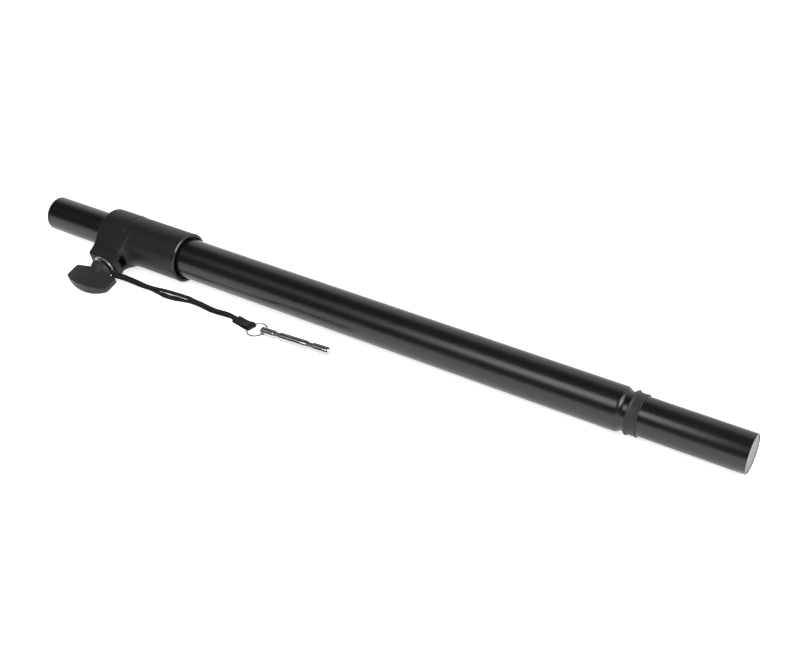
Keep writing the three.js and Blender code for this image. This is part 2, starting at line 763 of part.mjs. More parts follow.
function safetyPin() {
  const radius = pinDiameter / 2;
  const groove = pinGrooveDiameter / 2;
  const half = pinGrooveLength / 2;
  const notch = (centre) => [
    [radius, centre - half - pinGrooveTaper], [groove, centre - half],
    [groove, centre + half], [radius, centre + half + pinGrooveTaper],
  ];
  const body = turnedAlongX([
    [0, 0], [radius - pinChamfer, 0], [radius, pinChamfer],
    ...notch(pinGrooveFirst), ...notch(pinGrooveFirst + pinGrooveSpacing),
    [radius, pinLength - pinChamfer - pinChamfer], [radius - pinChamfer, pinLength], [0, pinLength],
  ], smallSides);
  const eye = roundBar(pinEyeDiameter, -pinDiameter, pinDiameter, smallSides).translate(pinEyeInset, 0, 0);
  return geometryOf(solidOf(body).subtract(solidOf(eye)));
}

// Assembly

const pole = new THREE.Group();
pole.rotation.y = leanAngle;
pole.position.z = axisHeight;
pole.add(
  piece('outer_tube', outerTube(), paint),
  piece('inner_tube', innerTube(), paint),
  piece('top_cap', topCap(), darkPlastic),
  piece('spigot_plug', spigotPlug(), footPlastic),
  piece('shoulder_ring', shoulderRing(), ringPlastic),
  piece('lower_guide', lowerGuide(), darkPlastic),
);

const clamp = new THREE.Group();
clamp.rotation.x = Math.PI + tilt;
clamp.add(
  piece('collar', collar(), collarPlastic),
  piece('clamp_nut', clampNut(), zinc),
  piece('clamp_screw', clampScrew(), zinc),
  piece('clamp_shoe', clampShoe(), darkPlastic),
  piece('knob', knob(), knobPlastic),
  piece('knob_washer', knobWasher(), chrome),
  piece('lanyard_loop', lanyardLoop(), tapeCloth),
);
rivetStations.forEach((station, i) => {
  const body = piece(i === 0 ? 'rivet_upper' : 'rivet_lower', rivet(), zinc);
  body.rotation.x = Math.PI;
  body.position.x = station;
  clamp.add(body);
});
pole.add(clamp);

const tether = new THREE.Group();
tether.add(
  piece('lanyard_strand_upper', strand(upperRoute, () => 0), tapeCloth),
  piece('lanyard_strand_lower', strand(lowerRoute, edgeOn), tapeCloth),
);

const tabFrame = new THREE.Group();
tabFrame.position.set(tabStart[0], tabStart[1], tabLift);
tabFrame.rotation.z = THREE.MathUtils.degToRad(tabTurn);
tabFrame.add(piece('lanyard_tab', lanyardTab(), tapeCloth));
tether.add(tabFrame);

// The ring leans from the tab's eye up to the pin's eye; its wire bows across each of them
const ringRadius = (splitRingDiameter - wireDiameter) / 2;
const bowHalf = (halfWidth) => (ringRadius - Math.sqrt(ringRadius ** 2 - halfWidth ** 2)) / 2;
const tabReach = ringRadius - bowHalf(tabWidth / 2);
const pinReach = ringRadius - bowHalf(pinDiameter / 2);
const eyeLift = tabEyeDiameter / 2 + tabEyeWall;
const pinSwing = THREE.MathUtils.degToRad(pinTurn - tabTurn);
const sideTilt = THREE.MathUtils.degToRad(splitRingTilt);
const sideRise = pinReach * Math.sin(pinSwing) * Math.sin(sideTilt);
const pitch = Math.asin(
  (pinDiameter / 2 - tabLift - eyeLift - sideRise) / (tabReach + pinReach * Math.cos(pinSwing)),
);
const tabAlong = X.clone().applyAxisAngle(Z, THREE.MathUtils.degToRad(tabTurn));
const tabSide = new THREE.Vector3().crossVectors(Z, tabAlong);
const eyeCentre = new THREE.Vector3(tabStart[0], tabStart[1], tabLift + eyeLift);
eyeCentre.addScaledVector(tabAlong, tabLength - eyeLift);
const ringAlong = tabAlong.clone().applyAxisAngle(tabSide, -pitch);
const ringSide = tabSide.clone().applyAxisAngle(tabAlong, sideTilt);
const ringNormal = new THREE.Vector3().crossVectors(ringAlong, ringSide).normalize();
ringSide.crossVectors(ringNormal, ringAlong);
const ringCentre = eyeCentre.clone().addScaledVector(ringAlong, tabReach);
const ring = piece('split_ring', splitRing(), chrome);
ring.quaternion.setFromRotationMatrix(new THREE.Matrix4().makeBasis(ringAlong, ringSide, ringNormal));
ring.position.copy(ringCentre);
tether.add(ring);

const toPin = ringAlong.clone().applyAxisAngle(ringNormal, pinSwing);
const pinAlong = new THREE.Vector3(toPin.x, toPin.y, 0).normalize();
const pinAcross = new THREE.Vector3().crossVectors(ringNormal, toPin);
const pinUp = new THREE.Vector3().crossVectors(pinAlong, pinAcross).normalize();
pinAcross.crossVectors(pinUp, pinAlong);
const pin = piece('safety_pin', safetyPin(), chrome);
pin.quaternion.setFromRotationMatrix(new THREE.Matrix4().makeBasis(pinAlong, pinAcross, pinUp));
pin.position.copy(ringCentre).addScaledVector(toPin, pinReach).addScaledVector(pinAlong, -pinEyeInset);
pin.position.z = pinDiameter / 2;
tether.add(pin);

export const assembly = new THREE.Group();
assembly.add(pole, tether);
assembly.updateMatrixWorld(true);

const footprint = new THREE.Box3();
pole.traverse((item) => {
  if (item.isMesh && item.name !== 'lanyard_loop') footprint.expandByObject(item, true);
});
const middle = footprint.getCenter(new THREE.Vector3());
assembly.position.set(-middle.x, -middle.y, 0);

export default assembly;
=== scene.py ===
"""Extendable speaker pole with clamp collar, wing knob and tethered safety pin."""
import json
import math

import bmesh
import bpy
from bpy.props import FloatProperty, FloatVectorProperty, IntProperty, PointerProperty
from mathutils import Euler, Matrix, Vector


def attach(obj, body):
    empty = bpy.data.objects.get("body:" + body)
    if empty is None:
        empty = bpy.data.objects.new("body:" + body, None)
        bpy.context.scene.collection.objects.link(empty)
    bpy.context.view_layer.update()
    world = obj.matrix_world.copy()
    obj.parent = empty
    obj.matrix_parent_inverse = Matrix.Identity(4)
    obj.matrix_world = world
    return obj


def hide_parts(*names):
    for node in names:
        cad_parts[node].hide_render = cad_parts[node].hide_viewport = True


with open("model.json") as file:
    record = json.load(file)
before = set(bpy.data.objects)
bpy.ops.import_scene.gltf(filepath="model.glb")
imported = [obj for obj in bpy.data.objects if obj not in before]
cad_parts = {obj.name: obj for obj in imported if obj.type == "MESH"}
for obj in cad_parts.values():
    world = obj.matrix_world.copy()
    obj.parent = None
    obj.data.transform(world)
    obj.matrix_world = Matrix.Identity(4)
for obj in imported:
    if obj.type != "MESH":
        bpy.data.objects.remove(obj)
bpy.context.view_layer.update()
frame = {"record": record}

bl_info = {
    "name": "Speaker Pole",
    "version": (1, 0, 0),
    "blender": (4, 5, 0),
    "location": "View3D > Sidebar > Speaker Pole",
    "description": "Builds a telescopic speaker pole with its clamp, lanyard and safety pin",
    "category": "Add Mesh",
}

MM = 0.001
WHITE = (1, 1, 1, 1)
# The least that counts in a division, and a mesh's welded gaps and lost edges in metres
TINY, WELDED, LOST = 1e-9, 2e-6, 1e-6
JOINTS = {joint["name"]: joint for joint in frame["record"]["behaviour"]["joints"]}


def linear(code):
    """An sRGB hex colour as linear red, green, blue and alpha."""
    parts = [int(code[i:i + 2], 16) / 255 for i in (0, 2, 4)]
    return [p / 12.92 if p <= 0.04045 else ((p + 0.055) / 1.055) ** 2.4 for p in parts] + [1.0]


def axes(x, y, z, origin):
    """A placing matrix from millimetres in a piece's own directions to metres in the row frame."""
    columns = Matrix((x, y, z)).transposed().to_4x4()
    return Matrix.Translation(origin) @ columns @ Matrix.Scale(MM, 4)


# The pole's own directions from the clamp screw: along it, outwards, and square to both
ALONG = -Vector(JOINTS["mast_slide"]["axis"]).normalized()
OUTWARD = Vector(JOINTS["knob_turn"]["axis"]).normalized()
SCREW = Vector(JOINTS["knob_turn"]["pos_m"])
POLE = axes(ALONG, OUTWARD, ALONG.cross(OUTWARD), SCREW)

# The split ring, the pin and the sewn tab in their own directions, from the eyes they swing about
TAB_EYE = Vector(JOINTS["ring_swing"]["pos_m"])
PIN_EYE = Vector(JOINTS["pin_swing"]["pos_m"])
RING_AXIS = Vector((0.977392, -0.205969, 0.047757))
PIN_AXIS = Vector((0.998600, 0.052892, 0))
TAB_AXIS = Vector((0.978509, -0.206204, 0))

# Millimetres from tab eye to ring middle, pin end to hole, tab start to eye, tab underside to eye
RING_CENTRE, PIN_HOLE, EYE_REACH, EYE_HEIGHT = 9.006, 3.6, 21.95, 2.65
RING = axes(RING_AXIS, (0.198982, 0.972431, 0.121593), (-0.071485, -0.109342, 0.991430),
            TAB_EYE + RING_AXIS * RING_CENTRE * MM)
PIN = axes(PIN_AXIS, (-0.052599, 0.993070, 0.105093), (0.005559, -0.104946, 0.994462),
           PIN_EYE - PIN_AXIS * PIN_HOLE * MM)
TAB = axes(TAB_AXIS, (0.206204, 0.978509, 0), (0, 0, 1),
           TAB_EYE - TAB_AXIS * EYE_REACH * MM - Vector((0, 0, EYE_HEIGHT * MM)))

# Where the lanyard's strands run, in millimetres: along from the clamp screw, across, and height
FLOOR = Matrix.Translation((SCREW.x, SCREW.y, 0)) @ Matrix.Scale(MM, 4)
UPPER_ROUTE = [
    (11.6, -44.4, 10.2), (15, -44.0, 9.8), (18.8, -42.2, 8.9), (23.4, -40.4, 7.6),
    (28.5, -39.0, 6.1), (34.6, -37.8, 4.8), (40.7, -37.4, 3.9), (46.8, -37.1, 3.3),
    (52.9, -36.2, 2.9), (58.7, -35.2, 2.6), (64.7, -34.3, 2.6), (70.5, -33.4, 2.6),
    (76.3, -32.6, 2.4), (82.3, -32.0, 2.2), (88.4, -31.5, 2.2), (93.9, -31.7, 2.4),
    (99, -31.8, 2.7), (104.5, -32.7, 2.8), (109.5, -33.2, 2.7), (115.8, -33.5, 2.6),
    (122.9, -34.4, 2.6), (130.2, -35.4, 2.6), (136.7, -35.6, 2.6), (142.8, -35.1, 2.6),
    (149.3, -34.5, 2.6), (156.3, -35.3, 2.6), (162.2, -36.5, 2.6)]
LOWER_ROUTE = [
    (10.7, -44.0, 8.1), (14, -43.8, 7.8), (18.2, -42.0, 6.9), (23.4, -40.2, 5.6),
    (28.5, -38.8, 4.3), (34.6, -37.8, 3.0), (40.7, -37.4, 2.2), (46.8, -37.1, 1.6),
    (52.9, -36.7, 1.2), (58.7, -36.8, 1.0), (64.7, -38.1, 1.2), (70.8, -39.5, 2.3),
    (76.8, -40.5, 2.6), (82.8, -40.4, 2.6), (88.2, -39.2, 2.4), (92.9, -37.4, 1.6),
    (98, -36.0, 1.0), (103.5, -34.7, 1.0), (109.5, -34.5, 1.0), (115.8, -34.7, 1.0),
    (122.9, -35.6, 1.0), (130.2, -36.6, 1.0), (136.7, -36.8, 1.0), (142.8, -36.3, 1.0),
    (149.3, -35.7, 1.0), (156.3, -35.3, 1.0), (162.2, -36.5, 1.0)]


class SPEAKERPOLE_PG_sizes(bpy.types.PropertyGroup):
    """Sizes of the dressed pieces."""
    mast_radius: FloatProperty(
        name="Inner tube radius", description="Outside radius of the inner tube and the spigot",
        default=0.0175, unit="LENGTH")
    body_radius: FloatProperty(
        name="Outer tube radius", description="Outside radius of the outer tube",
        default=0.020, unit="LENGTH")
    collar_radius: FloatProperty(
        name="Collar radius", description="Outside radius of the collar's head and rim",
        default=0.0252, unit="LENGTH")
    boss_reach: FloatProperty(
        name="Boss reach", description="From the pole's axis to the end face of the clamp boss",
        default=0.0435, unit="LENGTH")
    tape_width: FloatProperty(
        name="Tape width", description="Width of the lanyard's woven tape",
        default=0.0048, unit="LENGTH")
    tape_thickness: FloatProperty(
        name="Tape thickness", description="Thickness of the lanyard's woven tape",
        default=0.0011, unit="LENGTH")
    pin_radius: FloatProperty(
        name="Pin radius", description="Radius of the safety pin's round bar",
        default=0.004, unit="LENGTH")
    turned_sides: IntProperty(
        name="Turned sides", description="Faces round each turned piece",
        default=160, min=24, max=512)


class SPEAKERPOLE_PG_colours(bpy.types.PropertyGroup):
    """Colours of the finishes."""
    paint: FloatVectorProperty(
        name="Tube paint", description="Black enamel on both tubes",
        subtype="COLOR", size=4, default=linear("0f0f0f"))
    collar: FloatVectorProperty(
        name="Collar plastic", description="Moulded nylon of the clamp collar",
        subtype="COLOR", size=4, default=linear("181818"))
    knob: FloatVectorProperty(
        name="Knob plastic", description="Moulded nylon of the wing knob",
        subtype="COLOR", size=4, default=linear("242424"))
    ring: FloatVectorProperty(
        name="Ring plastic", description="Soft moulded plastic of the flanged ring",
        subtype="COLOR", size=4, default=linear("2c2c2c"))
    end_plug: FloatVectorProperty(
        name="End plug plastic", description="Pale moulded plug in the spigot's end",
        subtype="COLOR", size=4, default=linear("666666"))
    tape: FloatVectorProperty(
        name="Lanyard tape", description="Black woven polyester tape",
        subtype="COLOR", size=4, default=linear("0d0d0d"))


class SPEAKERPOLE_PG_pole(bpy.types.PropertyGroup):
    """Everything that can be set on the speaker pole."""
    sizes: PointerProperty(
        type=SPEAKERPOLE_PG_sizes, name="Sizes", description="Sizes of the dressed pieces")
    colours: PointerProperty(
        type=SPEAKERPOLE_PG_colours, name="Colours", description="Colours of the finishes")


# Meshes

def steps(first, last, count):
    """Evenly spaced numbers from first to last."""
    return [first + (last - first) * i / (count - 1) for i in range(count)]


def clamped(value):
    """A value kept between nought and one."""
    return min(1.0, max(0.0, value))


def arc(centre_x, centre_r, radius, first, last, count):
    """Points of an arc, from one angle to another in degrees."""
    turns = [math.radians(a) for a in steps(first, last, count)]
    return [(centre_x + radius * math.cos(a), centre_r + radius * math.sin(a)) for a in turns]


def height_at(line, x):
    """Height of a line of (x, height), given from high x to low, at one x."""
    for (x1, y1), (x2, y2) in zip(line, line[1:]):
        if x1 >= x >= x2 and x1 > x2:
            return y1 + (y2 - y1) * (x1 - x) / (x1 - x2)
    return line[0][1]


def bend(start, corner, end, count):
    """Points of a soft corner from start to end."""
    points = []
    for t in steps(0, 1, count):
        points.append(tuple((1 - t) ** 2 * a + 2 * t * (1 - t) * b + t * t * c
                            for a, b, c in zip(start, corner, end)))
    return points


def skin(rows, wrap_rows=False, capped=False):
    """Points and faces of a surface through rows of points; each row is a closed loop."""
    width = len(rows[0])
    points = [point for row in rows for point in row]
    faces = []
    for i in range(len(rows) if wrap_rows else len(rows) - 1):
        low, high = i * width, (i + 1) % len(rows) * width
        for j in range(width):
            k = (j + 1) % width
            faces.append((low + j, low + k, high + k, high + j))
    if capped:
        faces.append(tuple(reversed(range(width))))
        faces.append(tuple(range(len(points) - width, len(points))))
    return points, faces


def turned(profile, sides):
    """A turned body about the pole's axis from a closed profile of (station, radius)."""
    rows = []
    for i in range(sides):
        a = math.tau * i / sides
        rows.append([(x, r * math.cos(a), r * math.sin(a)) for x, r in profile])
    return skin(rows, wrap_rows=True)


def shaped(name, parts, place):
    """An object from points in millimetres and faces, placed in the row frame."""
    points, faces = parts
    mesh = bpy.data.meshes.new(name)
    work = bmesh.new()
    corners = [work.verts.new(place @ Vector(point)) for point in points]
    for face in faces:
        work.faces.new([corners[i] for i in face])
    bmesh.ops.remove_doubles(work, verts=work.verts, dist=WELDED)
    bmesh.ops.dissolve_degenerate(work, dist=LOST, edges=work.edges)
    bmesh.ops.recalc_face_normals(work, faces=work.faces)
    work.to_mesh(mesh)
    work.free()
    piece = bpy.data.objects.new(name, mesh)
    bpy.context.scene.collection.objects.link(piece)
    return piece


def settled(piece):
    """Applies the piece's modifiers to its mesh."""
    bpy.context.view_layer.update()
    finished = piece.evaluated_get(bpy.context.evaluated_depsgraph_get())
    mesh = bpy.data.meshes.new_from_object(finished)
    old = piece.data
    piece.modifiers.clear()
    piece.data = mesh
    bpy.data.meshes.remove(old)
    if not mesh.polygons:
        raise RuntimeError(piece.name + " lost its faces")


def joined_to(piece, tool, how):
    """Cuts a tool out of the piece, or adds it, and removes the tool."""
    change = piece.modifiers.new(how.lower(), "BOOLEAN")
    change.operation = how
    change.solver = "EXACT"
    change.object = tool
    settled(piece)
    bpy.data.objects.remove(tool)


def bar(name, radius, first, last, place, station=0):
    """A round tool along the place's Y direction, at a station along its X direction."""
    sides = 48
    rows = []
    for i in range(sides):
        a = math.tau * i / sides
        c, s = radius * math.cos(a), radius * math.sin(a)
        rows.append([(c + station, first, s), (c + station, last, s)])
    points = [row[0] for row in rows] + [row[1] for row in rows]
    faces = [(i, (i + 1) % sides, sides + (i + 1) % sides, sides + i) for i in range(sides)]
    faces += [tuple(reversed(range(sides))), tuple(range(sides, sides + sides))]
    return shaped(name, (points, faces), place)


def dressed(piece, material, body, nodes, sharp=32):
    """Gives a piece its finish, smooth shading and body, and hides the CAD nodes it stands for."""
    piece.data.materials.clear()
    piece.data.materials.append(material)
    piece.data.shade_smooth()
    piece.data.set_sharp_from_angle(angle=math.radians(sharp))
    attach(piece, body)
    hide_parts(*nodes)


def partly(piece, material, station, radius):
    """Gives a second finish to the faces beyond a station and outside a radius."""
    piece.data.materials.append(material)
    back = POLE.inverted()
    for face in piece.data.polygons:
        middle = back @ face.center
        if middle.x > station and math.hypot(middle.y, middle.z) > radius:
            face.material_index = 1


def refinished(node, material):
    """Gives a CAD node that keeps its shape a better material."""
    mesh = bpy.data.objects[node].data
    for i in range(len(mesh.materials)):
        mesh.materials[i] = material
    if not mesh.materials:
        mesh.materials.append(material)


# Materials

def add(tree, kind, inputs=None, stops=(), **settings):
    """Adds a node; an input is a value or the socket that feeds it, and stops are a ramp's."""
    made = tree.nodes.new(kind)
    for key, value in settings.items():
        setattr(made, key, value)
    for i, (place, colour) in enumerate(stops):
        made.color_ramp.elements[i].position, made.color_ramp.elements[i].color = place, colour
    for key, value in (inputs or {}).items():
        if isinstance(value, bpy.types.NodeSocket):
            tree.links.new(value, made.inputs[key])
        else:
            made.inputs[key].default_value = value
    return made


def per_mm(size):
    """Texture scale for a pattern of that size in millimetres."""
    return 1 / (size * MM)


def started(name):
    """A material's node tree, emptied, with its place coordinates."""
    material = bpy.data.materials.new(name)
    material.use_nodes = True
    tree = material.node_tree
    tree.nodes.clear()
    return material, tree, add(tree, "ShaderNodeTexCoord").outputs["Object"]


def shades(colour, *shares):
    """A ramp's stops at the colour's darker and lighter shares, for a pattern's lows and highs."""
    return [(place, [part * share for part in colour[:3]] + [1.0])
            for place, share in zip((0.3, 0.7), shares)]


def black_enamel(colour):
    """Stoved black enamel on drawn steel tube: deep, glossy, with a faint orange-peel ripple."""
    material, tree, place = started("black_enamel_on_steel")
    peel = add(tree, "ShaderNodeTexNoise", {"Vector": place, "Scale": per_mm(2.4), "Detail": 2.0})
    haze = add(tree, "ShaderNodeTexNoise", {"Vector": place, "Scale": per_mm(38), "Detail": 3.0})
    rough = add(tree, "ShaderNodeMapRange", {
        "Value": haze.outputs["Fac"], "To Min": 0.25, "To Max": 0.32})
    bump = add(tree, "ShaderNodeBump", {
        "Height": peel.outputs["Fac"], "Strength": 0.05, "Distance": 0.4 * MM})
    tint = add(tree, "ShaderNodeValToRGB", {"Fac": haze.outputs["Fac"]}, shades(colour, 0.9, 1.1))
    enamel = add(tree, "ShaderNodeBsdfPrincipled", {
        "Base Color": tint.outputs["Color"], "Roughness": rough.outputs["Result"], "IOR": 1.5,
        "Normal": bump.outputs["Normal"]})
    add(tree, "ShaderNodeOutputMaterial", {"Surface": enamel.outputs[0]})
    return material


def moulded(name, colour, rough, ior, grain, depth, shine=0.5):
    """Injection-moulded plastic with a spark-eroded grain: matt, with soft broad lights."""
    material, tree, place = started(name)
    # The real grain is about 0.2 mm; it is drawn coarser so that it still shows at this distance.
    fine = add(tree, "ShaderNodeTexNoise", {"Vector": place, "Scale": per_mm(grain), "Detail": 3.0})
    flow = add(tree, "ShaderNodeTexNoise", {"Vector": place, "Scale": per_mm(16), "Detail": 2.0})
    finish = add(tree, "ShaderNodeMapRange", {
        "Value": fine.outputs["Fac"], "To Min": rough - 0.05, "To Max": rough + 0.05})
    bump = add(tree, "ShaderNodeBump", {
        "Height": fine.outputs["Fac"], "Strength": 0.5, "Distance": depth * MM})
    tint = add(tree, "ShaderNodeValToRGB", {"Fac": flow.outputs["Fac"]}, shades(colour, 0.88, 1.12))
    plastic = add(tree, "ShaderNodeBsdfPrincipled", {
        "Base Color": tint.outputs["Color"], "Roughness": finish.outputs["Result"], "IOR": ior,
        "Specular IOR Level": shine, "Normal": bump.outputs["Normal"]})
    add(tree, "ShaderNodeOutputMaterial", {"Surface": plastic.outputs[0]})
    return material


def plated(name, tint, rough, waviness):
    """Plated steel: bright, with slight waves in the reflections from the turned bar below."""
    material, tree, place = started(name)
    wave = add(tree, "ShaderNodeTexNoise", {"Vector": place, "Scale": per_mm(3), "Detail": 2.0})
    fine = add(tree, "ShaderNodeTexNoise", {"Vector": place, "Scale": per_mm(0.9), "Detail": 3.0})
    finish = add(tree, "ShaderNodeMapRange", {
        "Value": fine.outputs["Fac"], "To Min": rough * 0.7, "To Max": rough * 1.4})
    bump = add(tree, "ShaderNodeBump", {
        "Height": wave.outputs["Fac"], "Strength": 0.4, "Distance": waviness * MM})
    metal = add(tree, "ShaderNodeBsdfPrincipled", {
        "Base Color": tint, "Metallic": 1.0, "Roughness": finish.outputs["Result"],
        "Normal": bump.outputs["Normal"]})
    add(tree, "ShaderNodeOutputMaterial", {"Surface": metal.outputs[0]})
    return material


def woven_tape(colour):
    """Flat woven polyester tape: dull black, painted light and shade, fine fuzz and slight sheen.
    """
    material, tree, place = started("woven_polyester_tape")
    ways = add(tree, "ShaderNodeUVMap").outputs["UV"]
    # The weave's own ribs, 0.5 mm apart, are too fine to show. These far coarser bands raise a
    # faint bump and paint light and shade for the tape's uneven lie. At scale 1 a wave texture's
    # bands are tau / 20 apart, so they come every tau * 1.1 and 0.8 mm.
    ribs = add(tree, "ShaderNodeTexWave", {
        "Vector": ways, "Scale": per_mm(1.1) / 20, "Distortion": 1.2, "Detail": 1.0,
        "Detail Scale": 2.0}, bands_direction="Y")
    yarns = add(tree, "ShaderNodeTexWave", {
        "Vector": ways, "Scale": per_mm(0.8) / 20, "Distortion": 0.6}, bands_direction="X")
    fuzz = add(tree, "ShaderNodeTexNoise", {"Vector": place, "Scale": per_mm(0.7), "Detail": 3.0})
    weave_and_painted_light = add(tree, "ShaderNodeMath", {
        0: ribs.outputs["Fac"], 1: yarns.outputs["Fac"]}, operation="MULTIPLY")
    body = add(tree, "ShaderNodeMath", {
        0: weave_and_painted_light.outputs[0], 1: fuzz.outputs["Fac"]}, operation="ADD")
    bump = add(tree, "ShaderNodeBump", {
        "Height": body.outputs[0], "Strength": 0.7, "Distance": 0.25 * MM})
    # Painted highlights and shade: the colour goes lighter and darker along the weave's bands.
    tint = add(tree, "ShaderNodeValToRGB", {"Fac": weave_and_painted_light.outputs[0]}, shades(colour, 0.6, 1.5))
    cloth = add(tree, "ShaderNodeBsdfPrincipled", {
        "Base Color": tint.outputs["Color"], "Roughness": 0.82, "IOR": 1.5,
        "Specular IOR Level": 0.3, "Sheen Weight": 0.1, "Normal": bump.outputs["Normal"]})
    add(tree, "ShaderNodeOutputMaterial", {"Surface": cloth.outputs[0]})
    return material


def sweep_white(name):
    """White seamless paper: the camera and every mirror see it white, and it keeps soft shadows."""
    material, tree, place = started(name)
    fibre = add(tree, "ShaderNodeTexNoise", {"Vector": place, "Scale": per_mm(4), "Detail": 3.0})
    tint = add(tree, "ShaderNodeValToRGB", {"Fac": fibre.outputs["Fac"]},
               ((0.3, linear("e2e2e2")), (0.7, linear("e8e8e8"))))
    paper = add(tree, "ShaderNodeBsdfDiffuse", {"Color": tint.outputs["Color"]})
    glow = add(tree, "ShaderNodeEmission", {"Color": WHITE, "Strength": 0.72})
    both = add(tree, "ShaderNodeAddShader", {0: paper.outputs[0], 1: glow.outputs[0]})
    ray = add(tree, "ShaderNodeLightPath")
    seen = add(tree, "ShaderNodeMath", {
        0: ray.outputs["Is Camera Ray"], 1: ray.outputs["Is Glossy Ray"]}, operation="MAXIMUM")
    seen = add(tree, "ShaderNodeMath", {
        0: seen.outputs[0], 1: ray.outputs["Is Transmission Ray"]}, operation="MAXIMUM")
    sweep = add(tree, "ShaderNodeMixShader", {
        0: seen.outputs[0], 1: paper.outputs[0], 2: both.outputs[0]})
    add(tree, "ShaderNodeOutputMaterial", {"Surface": sweep.outputs[0]})
    return material


# Stage

# The camera that fits the photograph: metres, degrees, and millimetres for its lens
CAMERA_PLACE = (0.53719094, -0.74451718, 0.62760430)
CAMERA_TURN = (56.45834881, 0.54250485, 31.95160184)
LENS, SENSOR_WIDTH = 54, 36

# Each light's place and aim, its width and height in metres, and its power in watts
LIGHTS = (
    ("front_softbox", (-0.16, -1.18, 1.42), (0.12, 0, 0.03), 1.0, 0.8, 12),
    ("left_card", (-1.02, -0.92, 1.34), (-0.04, 0, 0.01), 0.5, 0.7, 0.8),
    ("side_softbox", (1.52, 0.05, 0.80), (-0.20, 0, 0.03), 1.2, 0.8, 30))


def softbox(name, place, aim, width, height, power):
    """A rectangular light at a place, turned towards its aim."""
    lamp = bpy.data.lights.new(name, "AREA")
    lamp.shape, lamp.size, lamp.size_y, lamp.energy = "RECTANGLE", width, height, power
    light = bpy.data.objects.new(name, lamp)
    light.location = place
    light.rotation_euler = (Vector(aim) - Vector(place)).to_track_quat("-Z", "Y").to_euler()
    bpy.context.scene.collection.objects.link(light)


def studio_world():
    """White to the camera and plain to matt pieces, while mirrors see the sweep and a dim room."""
    world = bpy.data.worlds.new("studio")
    world.use_nodes = True
    tree = world.node_tree
    tree.nodes.clear()
    ray = add(tree, "ShaderNodeLightPath")
    generated = add(tree, "ShaderNodeTexCoord").outputs["Generated"]
    way = add(tree, "ShaderNodeSeparateXYZ", {0: generated})
    over = add(tree, "ShaderNodeMath", {
        0: way.outputs["Z"], 1: way.outputs["Y"]}, operation="ARCTAN2")
    # The white sweep rises behind the pole; the room above and in front of it is unlit.
    rise = add(tree, "ShaderNodeMapRange", {
        "Value": over.outputs[0], "From Min": 0.80, "From Max": 1.22,
        "To Min": 1.0, "To Max": 0.05}, interpolation_type="SMOOTHSTEP")
    mirror = add(tree, "ShaderNodeMath", {
        0: ray.outputs["Is Glossy Ray"], 1: ray.outputs["Is Transmission Ray"]},
        operation="MAXIMUM")
    plain, room, bright = [
        add(tree, "ShaderNodeBackground", {"Color": WHITE, "Strength": strength})
        for strength in (0.6, rise.outputs["Result"], 1.0)]
    seen = add(tree, "ShaderNodeMixShader", {
        0: mirror.outputs[0], 1: plain.outputs[0], 2: room.outputs[0]})
    whole = add(tree, "ShaderNodeMixShader", {
        0: ray.outputs["Is Camera Ray"], 1: seen.outputs[0], 2: bright.outputs[0]})
    add(tree, "ShaderNodeOutputWorld", {"Surface": whole.outputs[0]})
    return world


class SPEAKERPOLE_OT_stage(bpy.types.Operator):
    """Sets out the white floor, the soft studio light and the camera"""
    bl_idname = "speakerpole.stage"
    bl_label = "Set the Stage"

    def execute(self, context):
        scene = context.scene
        lens = bpy.data.cameras.new("view")
        lens.lens, lens.sensor_width, lens.clip_start = LENS, SENSOR_WIDTH, 0.01
        camera = bpy.data.objects.new("view", lens)
        camera.location = CAMERA_PLACE
        camera.rotation_euler = Euler([math.radians(angle) for angle in CAMERA_TURN])
        scene.collection.objects.link(camera)
        scene.camera = camera
        scene.view_settings.view_transform = "Standard"

        # The paper reaches twenty metres each way, so that no edge of it is ever seen.
        reach = 20000
        corners = [(-reach, -reach, 0), (reach, -reach, 0), (reach, reach, 0), (-reach, reach, 0)]
        floor = shaped("floor", (corners, [(0, 1, 2, 3)]), Matrix.Scale(MM, 4))
        floor.data.materials.append(sweep_white("seamless_paper"))

        for light in LIGHTS:
            softbox(*light)
        scene.world = studio_world()
        return {"FINISHED"}


# Lanyard

# Half of the tape's cross-section, thickest near its edges, as shares of its width and thickness
TAPE_HALF = [(-0.5, -0.2), (-0.46, -0.42), (-0.38, -0.5), (-0.15, -0.46),
             (0.15, -0.46), (0.38, -0.5), (0.46, -0.42), (0.5, -0.2)]
TAPE_SECTION = TAPE_HALF + [(-a, -b) for a, b in TAPE_HALF]

# The loop's tape is folded narrow to fit between the washer and the knob.
LOOP_WIDTH = 1.9

# How far the strands lean, and over which shares of their length: near the knob, and on edge
KNOB_LEAN, KNOB_LEAN_END, KNOB_LEAN_EASE = math.radians(50), 0.27, 0.8
EDGE_LEAN, EDGE_START, EDGE_END = math.radians(75), 0.37, 0.585


def between(a, b, first, last, now):
    """The point at one moment between a, at the first moment, and b, at the last."""
    return a * ((last - now) / (last - first)) + b * ((now - first) / (last - first))


def run_through(points, each=6):
    """A smooth line through points, in the centripetal way, with extra points between them."""
    points = [Vector(point) for point in points]
    ends = [points[0] * 2 - points[1]] + points + [points[-1] * 2 - points[-2]]
    line = []
    for i in range(1, len(ends) - 2):
        p = ends[i - 1:i + 3]
        t = [0.0]
        for a, b in zip(p, p[1:]):
            t.append(t[-1] + max((b - a).length, TINY) ** 0.5)
        for k in range(each):
            now = t[1] + (t[2] - t[1]) * k / each
            first = [between(p[j], p[j + 1], t[j], t[j + 1], now) for j in range(3)]
            second = [between(first[j], first[j + 1], t[j], t[j + 2], now) for j in range(2)]
            line.append(between(second[0], second[1], t[1], t[2], now))
    return line + [points[-1]]


